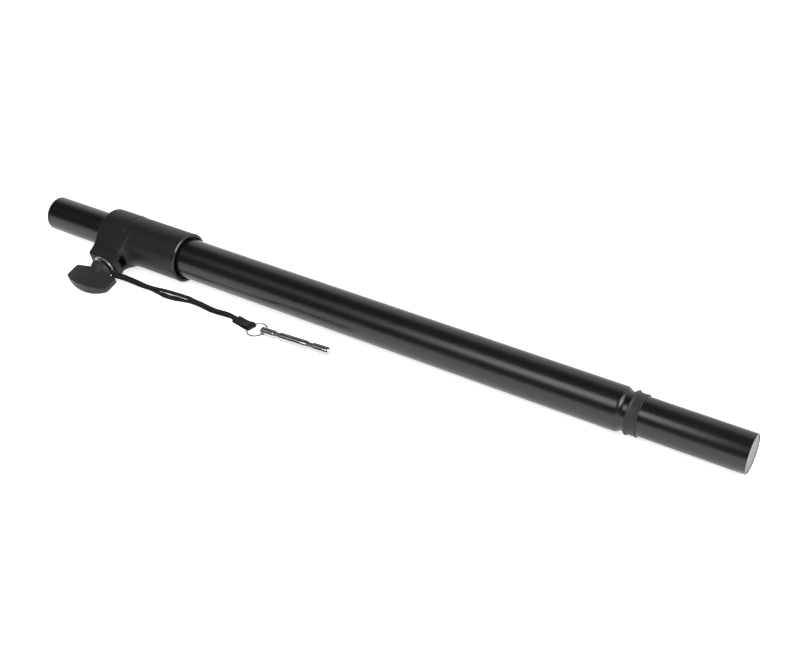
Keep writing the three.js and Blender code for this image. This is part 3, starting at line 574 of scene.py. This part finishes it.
def tape(name, line, width, thickness, place, level=None, turn=None):
    """Flat woven tape along a line, with its ways across and along kept as UVs in metres.

    It lies flat, or it keeps the one level direction across it that a line in a plane needs.
    """
    lengths = [0.0]
    for a, b in zip(line, line[1:]):
        lengths.append(lengths[-1] + (b - a).length)
    rows, ways = [], []
    for i, point in enumerate(line):
        along = (line[min(i + 1, len(line) - 1)] - line[max(i - 1, 0)]).normalized()
        across = Vector(level) if level else Vector((0, 0, 1)).cross(along).normalized()
        if turn:
            across.rotate(Matrix.Rotation(turn(lengths[i] / lengths[-1]), 3, along))
        normal = along.cross(across)
        rows.append([point + across * (a * width) + normal * (b * thickness)
                     for a, b in TAPE_SECTION])
        ways += [(a * width * MM, lengths[i] * MM) for a, b in TAPE_SECTION]
    points, faces = skin(rows, capped=True)
    mesh = bpy.data.meshes.new(name)
    mesh.from_pydata([place @ Vector(point) for point in points], [], faces)
    mesh.update()
    layer = mesh.uv_layers.new(name="UVMap")
    for loop in mesh.loops:
        layer.data[loop.index].uv = ways[loop.vertex_index]
    piece = bpy.data.objects.new(name, mesh)
    bpy.context.scene.collection.objects.link(piece)
    return piece


def stitches(name, rows, place):
    """Rows of short thread stitches that lie on the sewn tab."""
    half_width, half_height, sides = 0.34, 0.26, 8
    swells = ((0.08, 0.15), (0.2, 0.8), (0.45, 1.0), (0.7, 0.8), (0.82, 0.15))
    points, faces = [], []
    for start, end, count in rows:
        start, end = Vector(start), Vector(end)
        pitch = (end - start) / count
        side = Vector((0, 0, 1)).cross(pitch).normalized()
        for i in range(count):
            first = start + pitch * i
            stitch = []
            for share, swell in swells:
                centre = first + pitch * share
                stitch.append([
                    centre + side * (half_width * swell * math.cos(a))
                    + Vector((0, 0, half_height * swell * math.sin(a)))
                    for a in [math.tau * k / sides for k in range(sides)]])
            more, shell = skin(stitch, capped=True)
            faces += [tuple(index + len(points) for index in face) for face in shell]
            points += more
    return shaped(name, (points, faces), place)


def sewn_tab():
    """The tab: tape folded round the split ring over a filling, and a box of stitches on top."""
    # The fold stands wide enough open for the split ring to swing in it.
    below = [(0, 0.5), (4, 0.5), (8, 0.5), (12, 0.5), (16, 0.5), (19, 0.55)]
    fold = arc(22.0, EYE_HEIGHT, 2.1, -85, 85, 11)
    above = [(19, 4.45), (16, 3.6), (12, 2.95), (8, 2.72), (4, 2.7), (0.4, 2.7)]
    line = run_through([(x, 0, z) for x, z in below + fold + above], each=3)
    tab = tape("lanyard_tab_fold", line, width=10, thickness=0.95, place=TAB, level=(0, 1, 0))
    filling = run_through([(x, 0, 1.6) for x in (0.2, 5, 10, 15)])
    core = tape("lanyard_tab_core", filling, width=9.4, thickness=1.15, place=TAB)
    near, far, side, top = 1.6, 15.2, 3.4, 3.2
    thread = stitches("lanyard_tab_stitching", [
        ((near, -side, top), (far, -side, top), 6), ((near, side, top), (far, side, top), 6),
        ((near, -side, top), (near, side, top), 3), ((far, -side, top), (far, side, top), 3),
        ((near, -side, top), (far, side, top), 7)], TAB)
    return tab, core, thread


def screw_loop(thickness):
    """The line of the loop: round the screw, and narrowing to where the two strands leave it."""
    reach, radius, neck, leave, pinch = 46.55, 5.3, 11.6, math.radians(20), 0.9
    mouth = math.acos(radius / neck) * pinch
    spread = math.atan2(thickness, neck)
    ways = [(-a, radius) for a in steps(mouth, math.tau - mouth, 15)]
    ways = [(-spread, neck)] + ways + [(spread, neck)]
    return run_through([(r * math.cos(leave + a), reach, r * math.sin(leave + a)) for a, r in ways])


def leaning(share):
    """How far a strand leans at a share of its length, as it comes off the upright loop."""
    return KNOB_LEAN * math.cos(math.pi / 2 * min(1.0, share / KNOB_LEAN_END)) ** KNOB_LEAN_EASE


def on_edge(share):
    """How far the lower strand leans, which rises on its edge beside the upper one."""
    run = (share - EDGE_START) / (EDGE_END - EDGE_START)
    return EDGE_LEAN * math.sin(math.pi * run) ** 2 if 0 < run < 1 else leaning(share)


class SPEAKERPOLE_OT_lanyard(bpy.types.Operator):
    """Lays the woven lanyard: the loop round the screw, two strands and the sewn tab"""
    bl_idname = "speakerpole.lanyard"
    bl_label = "Lay the Lanyard"

    def execute(self, context):
        sizes = context.scene.speaker_pole.sizes
        cloth = woven_tape(context.scene.speaker_pole.colours.tape)
        width, thick = sizes.tape_width / MM, sizes.tape_thickness / MM
        tab, core, thread = sewn_tab()
        for piece in (tab, core, thread):
            dressed(piece, cloth, "pole_body", ("lanyard_tab",), sharp=60)

        for name, route, turn in (
                ("upper", UPPER_ROUTE, leaning), ("lower", LOWER_ROUTE, on_edge)):
            line = run_through(route)
            strand = tape("lanyard_tape_" + name, line, width, thick, FLOOR, turn=turn)
            dressed(strand, cloth, "pole_body", ("lanyard_strand_" + name,), sharp=60)

        line = screw_loop(thick)
        loop = tape("lanyard_tape_loop", line, LOOP_WIDTH, thick, POLE, level=(0, 1, 0))
        dressed(loop, cloth, "pole_body", ("lanyard_loop",), sharp=60)
        return {"FINISHED"}


# Tubes

# Millimetres along the pole from the clamp screw, and from the pole's axis
TUBE_START, SPIGOT_END, TUBE_WALL = 26.5, 654.5, 1.2
SWAGE_START, SWAGE_LENGTH = 542.5, 6
MAST_START, MAST_END, MAST_WALL = -100.8, 534.2, 1.5
PIN_HOLES = [41.7 + 60 * i for i in range(6)]
PIN_HOLE_RADIUS = 4.5


def outer_tube_profile(body, mast):
    """The outer tube, swaged down at a soft shoulder to its spigot, inside as outside."""
    edge, lag = 0.3, 0.6
    shoulder = [(SWAGE_START + SWAGE_LENGTH * s,
                 mast + (body - mast) * (1 + math.cos(math.pi * s)) / 2) for s in steps(0, 1, 17)]
    start = [(TUBE_START, body - TUBE_WALL), (TUBE_START, body - 0.2), (TUBE_START + 0.2, body)]
    end = arc(SPIGOT_END - edge, mast - edge, edge, 90, 0, 4) + [(SPIGOT_END, mast - TUBE_WALL)]
    inside = [(x - lag, r - TUBE_WALL) for x, r in reversed(shoulder)]
    return start + [(300, body)] + shoulder + end + inside


def inner_tube_profile(mast):
    """The inner tube, straight, with its end edges broken."""
    edge = 0.3
    return [(MAST_START, mast - MAST_WALL), (MAST_START, mast - edge),
            (MAST_START + edge, mast), (200, mast), (MAST_END - edge, mast),
            (MAST_END, mast - edge), (MAST_END, mast - MAST_WALL)]


def cap_profile(mast):
    """The inner tube's cap: a rounded lid with a fine groove, on a sleeve inside the tube."""
    lid, seat, depth, rounding, outside, inside = -103.6, -101.1, -83.1, 1.6, 15.7, 13.9
    groove = [(lid, mast - 6), (lid + 0.15, mast - 5.6), (lid, mast - 5.2)]
    edge = arc(lid + rounding, mast - rounding, rounding, 180, 90, 7)
    sleeve = [(seat, outside), (depth, outside), (depth, inside), (seat, inside)]
    return [(lid, 0)] + groove + edge + [(seat, mast)] + sleeve + [(seat, 0)]


def plug_profile():
    """The spigot's plug: a face set back in a soft-edged rim, on a sleeve inside the tube."""
    rim, face, back, depth, outside, inside = 654.1, 653.9, 652.3, 640.1, 16.1, 14.2
    edge = [(653.7, outside), (654.0, 16.0), (rim, 15.7), (rim, 14.6), (face, inside)]
    return [(back, 0), (back, inside), (depth, inside), (depth, outside)] + edge + [(face, 0)]


def shoulder_ring_profile():
    """The flanged ring: a rounded flange, a soft step down, and a band with a rolled end."""
    start, end, bore, band = 552.0, 562.1, 17.8, 18.5
    flange = arc(552.5, 19.3, 0.5, 180, 90, 4) + arc(553.0, 19.3, 0.5, 90, 0, 4)
    step = [(553.6, 18.9), (554.2, band), (560.6, band)]
    rolled = arc(561.6, 18.45, 0.45, 150, 0, 7) + [(end, 18.2)]
    return [(start, bore)] + flange + step + rolled + [(end, bore)]


class SPEAKERPOLE_OT_tubes(bpy.types.Operator):
    """Makes the two painted tubes with their plug, cap, guide and flanged ring"""
    bl_idname = "speakerpole.tubes"
    bl_label = "Make the Tubes"

    def execute(self, context):
        sizes = context.scene.speaker_pole.sizes
        colours = context.scene.speaker_pole.colours
        body, mast, sides = sizes.body_radius / MM, sizes.mast_radius / MM, sizes.turned_sides
        enamel = black_enamel(colours.paint)
        # Moulded polyamide of the cap and the guide: black and matt.
        black = moulded("black_polyamide_moulding", linear("191919"),
                        rough=0.5, ior=1.53, grain=0.8, depth=0.03)
        outer = shaped("outer_tube_enamelled", turned(outer_tube_profile(body, mast), sides), POLE)
        dressed(outer, enamel, "pole_body", ("outer_tube",))

        inner = shaped("inner_tube_enamelled", turned(inner_tube_profile(mast), sides), POLE)
        level = axes(ALONG, (0, -1, 0), ALONG.cross((0, -1, 0)), SCREW)
        for station in PIN_HOLES:
            joined_to(inner, bar("drill", PIN_HOLE_RADIUS, -30, 30, level, station), "DIFFERENCE")
        dressed(inner, enamel, "mast", ("inner_tube",))
        cap = shaped("top_cap_moulded", turned(cap_profile(mast), sides), POLE)
        dressed(cap, black, "mast", ("top_cap",))

        # Moulded plug: pale grey and dull, with a fine cast texture.
        pale = moulded("pale_moulded_plug", colours.end_plug,
                       rough=0.6, ior=1.5, grain=1.3, depth=0.12)
        plug = shaped("spigot_plug_moulded", turned(plug_profile(), sides), POLE)
        dressed(plug, pale, "pole_body", ("spigot_plug",))
        # Soft moulding of the flanged ring: a duller, lighter grey than the collar.
        soft = moulded("soft_grey_ring_moulding", colours.ring,
                       rough=0.52, ior=1.5, grain=0.9, depth=0.05, shine=0.3)
        ring = shaped("shoulder_ring_moulded", turned(shoulder_ring_profile(), sides), POLE)
        dressed(ring, soft, "pole_body", ("shoulder_ring",))
        refinished("lower_guide", black)
        return {"FINISHED"}


# Collar

# Millimetres along the pole from the clamp screw and from the pole's axis; degrees from the screw
COLLAR_START, COLLAR_END, SHAFT = -24.6, 76.5, 24.8
RIM_BEVEL, RIM_INSIDE = 75.2, 23.4
BOSS_ROOT, BOSS_HALF = 59, 11.2
LEAN_START, LEAN_SLOPE = 16, 0.249
WAIST_HEIGHT, WAIST_STATION = 33, 13.2
FLARE_BELOW, FLARE_ABOVE = 1.8 / 19, 2.1 / 8.7
SCREW_BORE, SHOE_BORE, RIVET_BORE = 4.3, 7.0, 2.3
NUT_SLOT = (-8.1, 28.7, -6.8), (17.5, 35.8, 6.8)
RIVET_STATIONS = {"rivet_upper": 47, "rivet_lower": 63}


def boss_outline(head, reach):
    """The boss seen along the pole, as (height, half width), from its root on the head outwards."""
    root, corner = math.radians(BOSS_ROOT), 1.8
    turn = (head - BOSS_HALF * math.sin(root)) / math.cos(root)
    start = (head * math.cos(root), head * math.sin(root))
    outline = bend(start, (turn, BOSS_HALF), (36, BOSS_HALF), 25)
    end = (reach, BOSS_HALF - corner)
    return outline + bend((reach - corner, BOSS_HALF), (reach, BOSS_HALF), end, 7) + [(reach, 0)]


def flank_reach(angle, head, outline):
    """Radius of the boss's flank at an angle from the screw."""
    way = math.tan(math.radians(abs(angle)))
    for (y1, z1), (y2, z2) in zip(outline, outline[1:]):
        before, after = z1 - way * y1, way * y2 - z2
        if before >= -TINY and after >= -TINY:
            share = before / max(before + after, TINY)
            return math.hypot(y1 + (y2 - y1) * share, z1 + (z2 - z1) * share)
    return head


def boss_side(height):
    """Station of the boss's lower side at a height: it narrows to a waist and flares above it."""
    slope = FLARE_BELOW if height < WAIST_HEIGHT else FLARE_ABOVE
    return WAIST_STATION + abs(height - WAIST_HEIGHT) * slope


def collar_start(angle, top, head):
    """The collar's upper end: upright with a rounded edge, and leaning where the boss is tall."""
    tall = abs(angle) < BOSS_ROOT
    c = math.cos(math.radians(angle))
    head_nose, boss_nose, onset, onset_width = 2.2, 1.6, 62, 14
    blend = clamped((onset - abs(angle)) / onset_width)
    nose = head_nose + (boss_nose - head_nose) * (blend * blend * (3 - 2 * blend))
    foot = min(LEAN_START / max(c, 0.05), top) if tall else head
    points = [(COLLAR_START, 19.3), (COLLAR_START, 20.0)]
    if top - foot < nose:
        return points + arc(COLLAR_START + nose, top - nose, nose, 180, 90, 11)
    end = COLLAR_START + max(0.0, top * c - LEAN_START) * LEAN_SLOPE
    run = math.hypot(end - COLLAR_START, top - foot)
    ux, ur = (end - COLLAR_START) / run, (top - foot) / run
    knee, brow = 1.5, 1.9
    points += bend((COLLAR_START, foot - knee), (COLLAR_START, foot),
                   (COLLAR_START + ux * knee, foot + ur * knee), 4)
    return points + bend((end - ux * brow, top - ur * brow), (end, top), (end + brow, top), 7)


def collar_side(angle, top):
    """The top of the boss and its lower side, which runs out on the shaft in a soft flank."""
    c = math.cos(math.radians(angle))
    swell = max(0.0, 1 - (angle / BOSS_ROOT) ** 2)
    rise = top - SHAFT
    head_end, onset, onset_width = 7.2, 60.5, 3
    flank_rise, flank_run, lip_run = 9.7 * swell, 1 + 15 * swell, 1.2 + 12 * swell
    share = clamped((onset - abs(angle)) / onset_width)
    right = head_end + (boss_side(top * c) - head_end) * share
    points = [(-4, top), (4, top)]
    if rise > 1.2:
        soft = min(1.8, rise * 0.35)
        flank = min(SHAFT + min(flank_rise, 0.8 * rise), top - soft)
        edge, side = boss_side((top - soft) * c), boss_side(flank * c)
        points += bend((right - soft, top), (right, top), (edge, top - soft), 7)
        return points + bend((side, flank), (side, SHAFT), (side + flank_run, SHAFT), 14)
    lip = (right + 0.1, top - rise * 0.4)
    points += bend((right - 0.3, top), (right, top), lip, 7)
    return points + bend(lip, (right + 0.3, SHAFT), (right + lip_run, SHAFT), 14)


def collar_end(head):
    """The shaft, the rim with its bevel at the collar's lower end, and the bores for both tubes."""
    mouth, tube_bore, mast_bore = 22.0, 20.3, 17.9
    points = [(40, SHAFT), (73.6, SHAFT), (74.1, SHAFT)]
    points += bend((74.2, SHAFT), (74.5, head), (74.9, head), 5)
    points += bend((RIM_BEVEL, head), (75.5, head), (75.65, head - 0.15), 4)
    points += bend((76.35, head - 1.1), (COLLAR_END, head - 1.3), (COLLAR_END, head - 1.6), 4)
    points += [(COLLAR_END, mouth + 0.3), (76.3, mouth), (72.5, mouth), (72.5, tube_bore)]
    return points + [(26.2, tube_bore), (26.2, mast_bore), (-23.2, mast_bore), (-24.3, 19.0)]


def collar_rows(head, reach):
    """Half sections of the collar in planes round the pole, closer together on the boss."""
    outline, rows = boss_outline(head, reach), []
    for turn in steps(-63, 63, 169) + steps(66, 294, 77):
        way, angle = math.radians(turn), turn if turn <= 180 else turn - 360
        top = flank_reach(angle, head, outline) if abs(angle) < BOSS_ROOT else head
        section = collar_start(angle, top, head) + collar_side(angle, top) + collar_end(head)
        rows.append([(x, r * math.cos(way), r * math.sin(way)) for x, r in section])
    return rows


def block(name, start, end, place):
    """A box-shaped tool between two opposite corners."""
    (x1, y1, z1), (x2, y2, z2) = start, end
    corners = [(x, y, z) for z in (z1, z2) for x, y in ((x1, y1), (x2, y1), (x2, y2), (x1, y2))]
    sides = [(3, 2, 1, 0), (4, 5, 6, 7), (0, 1, 5, 4), (1, 2, 6, 5), (2, 3, 7, 6), (3, 0, 4, 7)]
    return shaped(name, (corners, sides), place)


def rivet_profile():
    """A blind rivet along its own axis: its shank in the walls, and a domed head."""
    start, seat, shank, radius, rise = 18.8, 25.1, 2.0, 3.8, 1.1
    dome = [(seat + rise * math.sin(a), radius * math.cos(a)) for a in steps(0.1, 1.4, 7)]
    return [(start, 0), (start, shank), (seat, shank), (seat, radius)] + dome + [(seat + rise, 0)]


class SPEAKERPOLE_OT_collar(bpy.types.Operator):
    """Moulds the clamp collar with its boss and nut pocket, and sets the nut and the rivets"""
    bl_idname = "speakerpole.collar"
    bl_label = "Mould the Collar"

    def execute(self, context):
        sizes = context.scene.speaker_pole.sizes
        colours = context.scene.speaker_pole.colours
        # Glass-filled nylon from an eroded mould: black, with its grain showing in the lights.
        nylon = moulded("glass_filled_nylon", colours.collar,
                        rough=0.47, ior=1.53, grain=0.9, depth=0.18, shine=0.3)
        rows = collar_rows(sizes.collar_radius / MM, sizes.boss_reach / MM)
        collar = shaped("collar_moulded", skin(rows, wrap_rows=True), POLE)
        tools = [block("nut_slot", *NUT_SLOT, POLE), bar("screw_hole", SCREW_BORE, 5, 47, POLE),
                 bar("shoe_pocket", SHOE_BORE, 5, 25.1, POLE)]
        tools += [bar("rivet_hole", RIVET_BORE, -28, -19.9, POLE, station)
                  for station in RIVET_STATIONS.values()]
        for tool in tools:
            joined_to(collar, tool, "DIFFERENCE")
        dressed(collar, nylon, "pole_body", ("collar",), sharp=38)
        # The rim was left smooth by the mould, where the rest has its grain.
        smooth = moulded("smooth_nylon_rim", colours.collar,
                         rough=0.2, ior=1.53, grain=0.8, depth=0.01)
        partly(collar, smooth, RIM_BEVEL, RIM_INSIDE)

        # Zinc-plated steel of the nut and the rivets: a cool pale grey with blurred lights.
        zinc = plated("zinc_plated_steel", linear("b4b6b8"), rough=0.3, waviness=0.06)
        refinished("clamp_nut", zinc)
        for name, station in RIVET_STATIONS.items():
            turn = Matrix.Rotation(math.radians(-90), 4, "Z")
            place = POLE @ Matrix.Translation((station, 0, 0)) @ turn
            rivet = shaped(name + "_head", turned(rivet_profile(), 48), place)
            dressed(rivet, zinc, "pole_body", (name,))
        return {"FINISHED"}


# Clamp

# Half of the wing's span, half its thickness at a tip, and what the middle adds, in millimetres
WING_SPAN, WING_TIP, WING_SWELL = 26.4, 2.5, 3.0


def knob_hub():
    """The knob's hub: it narrows outwards and has eight shallow cored dimples round its foot."""
    foot, round_edge, sides = 47.8, 0.7, 192
    dimples, depth, height, spread = 8, 0.5, 52.2, 1.5
    profile = [(foot, 0), (foot, 10.6)] + arc(foot + round_edge, 10.6, round_edge, 180, 90, 4)
    profile += [(49.0, 11.3)] + bend((49.3, 11.3), (53.2, 10.7), (56.4, 8.0), 17)
    profile += [(60, 5.0), (60.8, 3.0), (60.8, 0)]
    rows = []
    for i in range(sides):
        a = math.tau * i / sides
        hollow = depth * max(0.0, -math.cos(dimples * a)) ** 2
        row = []
        for y, r in profile:
            r -= hollow * math.exp(-((y - height) / spread) ** 2)
            row.append((y, r * math.cos(a), r * math.sin(a)))
        rows.append(row)
    return skin(rows, wrap_rows=True)


def knob_wing():
    """The wing, in rows across its span: crowned outside, arched inside, thinner to its tips."""
    crown, rise, arch = 78.8, 7.1, 52.4
    lower = bend((WING_SPAN, 57.7), (WING_SPAN, 55.5), (24.2, 55.5), 5)
    lower += bend((24.2, 55.5), (7.7, 54.6), (5.5, arch), 12)[1:] + [(0, arch)]
    radius = (WING_SPAN ** 2 + rise ** 2) / (2 * rise)
    upper = bend((WING_SPAN, 69.5), (WING_SPAN, 71.7), (24.2, 72.8), 5)
    upper += [(x, crown - radius + math.sqrt(radius * radius - x * x)) for x in steps(22, 0, 23)]
    rows = []
    for x in steps(-WING_SPAN, WING_SPAN, 97):
        low, high = height_at(lower, abs(x)), height_at(upper, abs(x))
        half = WING_TIP + WING_SWELL * (1 - (x / WING_SPAN) ** 2)
        rows.append([(x, low, -half), (x, high, -half), (x, high, half), (x, low, half)])
    return skin(rows, capped=True)


def screw_thread():
    """The M8 screw: a turned-down tip and a thread that winds out to its end inside the knob."""
    start, end, tip, root, height, sides = 20.0, 67.3, 2.8, 3.4, 0.6, 48
    pitch, crest = 1.25, 1.3
    rows = []
    for i in range(sides):
        a = math.tau * i / sides
        row = [(start, 0.0, 0.0), (start, tip * math.cos(a), tip * math.sin(a)),
               (22.5, tip * math.cos(a), tip * math.sin(a))]
        for x in steps(22.7, 66.7, 282):
            depth = abs(((x / pitch - i / sides) % 1) * 2 - 1)
            r = root + height * min(1.0, depth * crest)
            row.append((x, r * math.cos(a), r * math.sin(a)))
        rows.append(row + [(end, 0.0, 0.0)])
    return skin(rows, wrap_rows=True)


def washer_profile():
    """The flat washer with its outer edges broken."""
    under, over, outside, edge = 43.8, 45.3, 11.5, 0.2
    return [(under, SCREW_BORE), (under, outside - edge), (under + edge, outside),
            (over - edge, outside), (over, outside - edge), (over, SCREW_BORE)]


class SPEAKERPOLE_OT_clamp(bpy.types.Operator):
    """Makes the wing knob, its threaded screw, the bright washer and the pressure shoe"""
    bl_idname = "speakerpole.clamp"
    bl_label = "Make the Clamp"

    def execute(self, context):
        colours = context.scene.speaker_pole.colours
        outwards = POLE @ Matrix.Rotation(math.radians(90), 4, "Z")
        knob = shaped("wing_knob", knob_hub(), outwards)
        joined_to(knob, shaped("wing", knob_wing(), POLE), "UNION")
        # The moulding's corners are all radiused, so the joined form is remeshed finely and eased.
        grid = knob.modifiers.new("grid", "REMESH")
        grid.mode, grid.voxel_size = "VOXEL", 0.42 * MM
        ease = knob.modifiers.new("ease", "SMOOTH")
        ease.factor, ease.iterations = 0.5, 9
        settled(knob)
        joined_to(knob, bar("insert", SCREW_BORE, 40, 67.6, POLE), "DIFFERENCE")
        # Moulded nylon of the knob: grained like the collar and a little greyer.
        nylon = moulded("grey_black_nylon", colours.knob,
                        rough=0.5, ior=1.53, grain=0.9, depth=0.14, shine=0.3)
        dressed(knob, nylon, "knob", ("knob",), sharp=45)

        # Zinc-plated screw: the nut's grey, a shade darker.
        zinc = plated("zinc_plated_thread", linear("b0b2b4"), rough=0.3, waviness=0.05)
        screw = shaped("clamp_screw_thread", screw_thread(), outwards)
        dressed(screw, zinc, "knob", ("clamp_screw",))
        # Bright plated washer: nearly white, with the lights blurred in it.
        bright = plated("bright_plated_washer", linear("e6e6e6"), rough=0.3, waviness=0.04)
        washer = shaped("washer_bright", turned(washer_profile(), 96), outwards)
        dressed(washer, bright, "pole_body", ("knob_washer",))
        # Moulded acetal of the shoe: black and a little slippery in its shine.
        acetal = moulded("black_acetal_shoe", linear("1b1b1b"),
                         rough=0.45, ior=1.48, grain=0.8, depth=0.02)
        refinished("clamp_shoe", acetal)
        return {"FINISHED"}


# Ring and pin

def ring_coil():
    """Two close turns of flat wire, with the step from one to the other half way along it."""
    turns, first, middle, half_gap = 1.96, 2.2, 9.7, 0.3
    half_height, half_width, end_width, count, sides = 0.29, 0.6, 0.35, 192, 10
    rows = []
    for i in range(count + 1):
        share = i / count
        a = math.tau * turns * share + first
        lift = 2 * half_gap * clamped((share - 0.42) / 0.16) - half_gap
        wide = half_width if 0 < i < count else end_width
        row = []
        for k in range(sides):
            b = math.tau * k / sides
            r = middle + wide * math.cos(b)
            row.append((r * math.cos(a), r * math.sin(a), lift + half_height * math.sin(b)))
        rows.append(row)
    return skin(rows, capped=True)


def pin_profile(radius):
    """The safety pin: a rounded end with the hole, two soft-edged grooves and a bevelled tip."""
    round_end, neck, tip, length = 1.1, 3.2, 2.8, 74.5
    profile = [(0, 0), (0, radius - 1.2)]
    profile += arc(round_end, radius - round_end, round_end, 180, 90, 6)
    for centre in (18, 54):
        profile += bend((centre - 3.9, radius), (centre - 3.3, radius), (centre - 2.2, neck), 5)
        profile += bend((centre + 2.2, neck), (centre + 3.3, radius), (centre + 3.9, radius), 5)
    bevel = bend((72.2, radius), (73.2, radius), (74.1, 3.2), 5)
    return profile + bevel + [(length, tip), (length, 0)]


class SPEAKERPOLE_OT_pin(bpy.types.Operator):
    """Makes the two-turn split ring and the grooved safety pin"""
    bl_idname = "speakerpole.pin"
    bl_label = "Make the Ring and Pin"

    def execute(self, context):
        radius = context.scene.speaker_pole.sizes.pin_radius / MM
        # Chrome-plated bar of the pin: clear dark and white bands along it.
        chrome = plated("chrome_plated_steel", linear("b8b8b8"), rough=0.14, waviness=0.04)
        ring = shaped("split_ring_coil", ring_coil(), RING)
        # Nickel-plated wire of the split ring: greyer and more blurred than the pin.
        nickel = plated("nickel_plated_wire", linear("929292"), rough=0.3, waviness=0.03)
        dressed(ring, nickel, "ring", ("split_ring",), sharp=60)
        pin = shaped("safety_pin_chromed", turned(pin_profile(radius), 96), PIN)
        joined_to(pin, bar("cross_hole", 1.6, -8, 8, PIN, PIN_HOLE), "DIFFERENCE")
        dressed(pin, chrome, "pin", ("safety_pin",))
        return {"FINISHED"}


# Panel and registration

class SPEAKERPOLE_PT_panel(bpy.types.Panel):
    """Lists the speaker pole's sizes, colours and building steps"""
    bl_idname = "SPEAKERPOLE_PT_panel"
    bl_label = "Speaker Pole"
    bl_space_type = "VIEW_3D"
    bl_region_type = "UI"
    bl_category = "Speaker Pole"

    def draw(self, context):
        pole = context.scene.speaker_pole
        for group in (pole.sizes, pole.colours):
            for name in group.__annotations__:
                self.layout.prop(group, name)
        for step in STEPS:
            self.layout.operator(step.bl_idname)


STEPS = (SPEAKERPOLE_OT_stage, SPEAKERPOLE_OT_lanyard, SPEAKERPOLE_OT_tubes, SPEAKERPOLE_OT_collar,
         SPEAKERPOLE_OT_clamp, SPEAKERPOLE_OT_pin)
CLASSES = ((SPEAKERPOLE_PG_sizes, SPEAKERPOLE_PG_colours, SPEAKERPOLE_PG_pole) + STEPS
           + (SPEAKERPOLE_PT_panel,))


def register():
    """Makes the classes and the scene's settings known."""
    for item in CLASSES:
        bpy.utils.register_class(item)
    bpy.types.Scene.speaker_pole = PointerProperty(type=SPEAKERPOLE_PG_pole)


def unregister():
    """Takes the settings and the classes away again."""
    del bpy.types.Scene.speaker_pole
    for item in reversed(CLASSES):
        bpy.utils.unregister_class(item)


def main():
    """Registers the classes and builds every piece."""
    register()
    bpy.ops.speakerpole.stage()
    bpy.ops.speakerpole.lanyard()
    bpy.ops.speakerpole.tubes()
    bpy.ops.speakerpole.collar()
    bpy.ops.speakerpole.clamp()
    bpy.ops.speakerpole.pin()


if __name__ == "__main__":
    main()
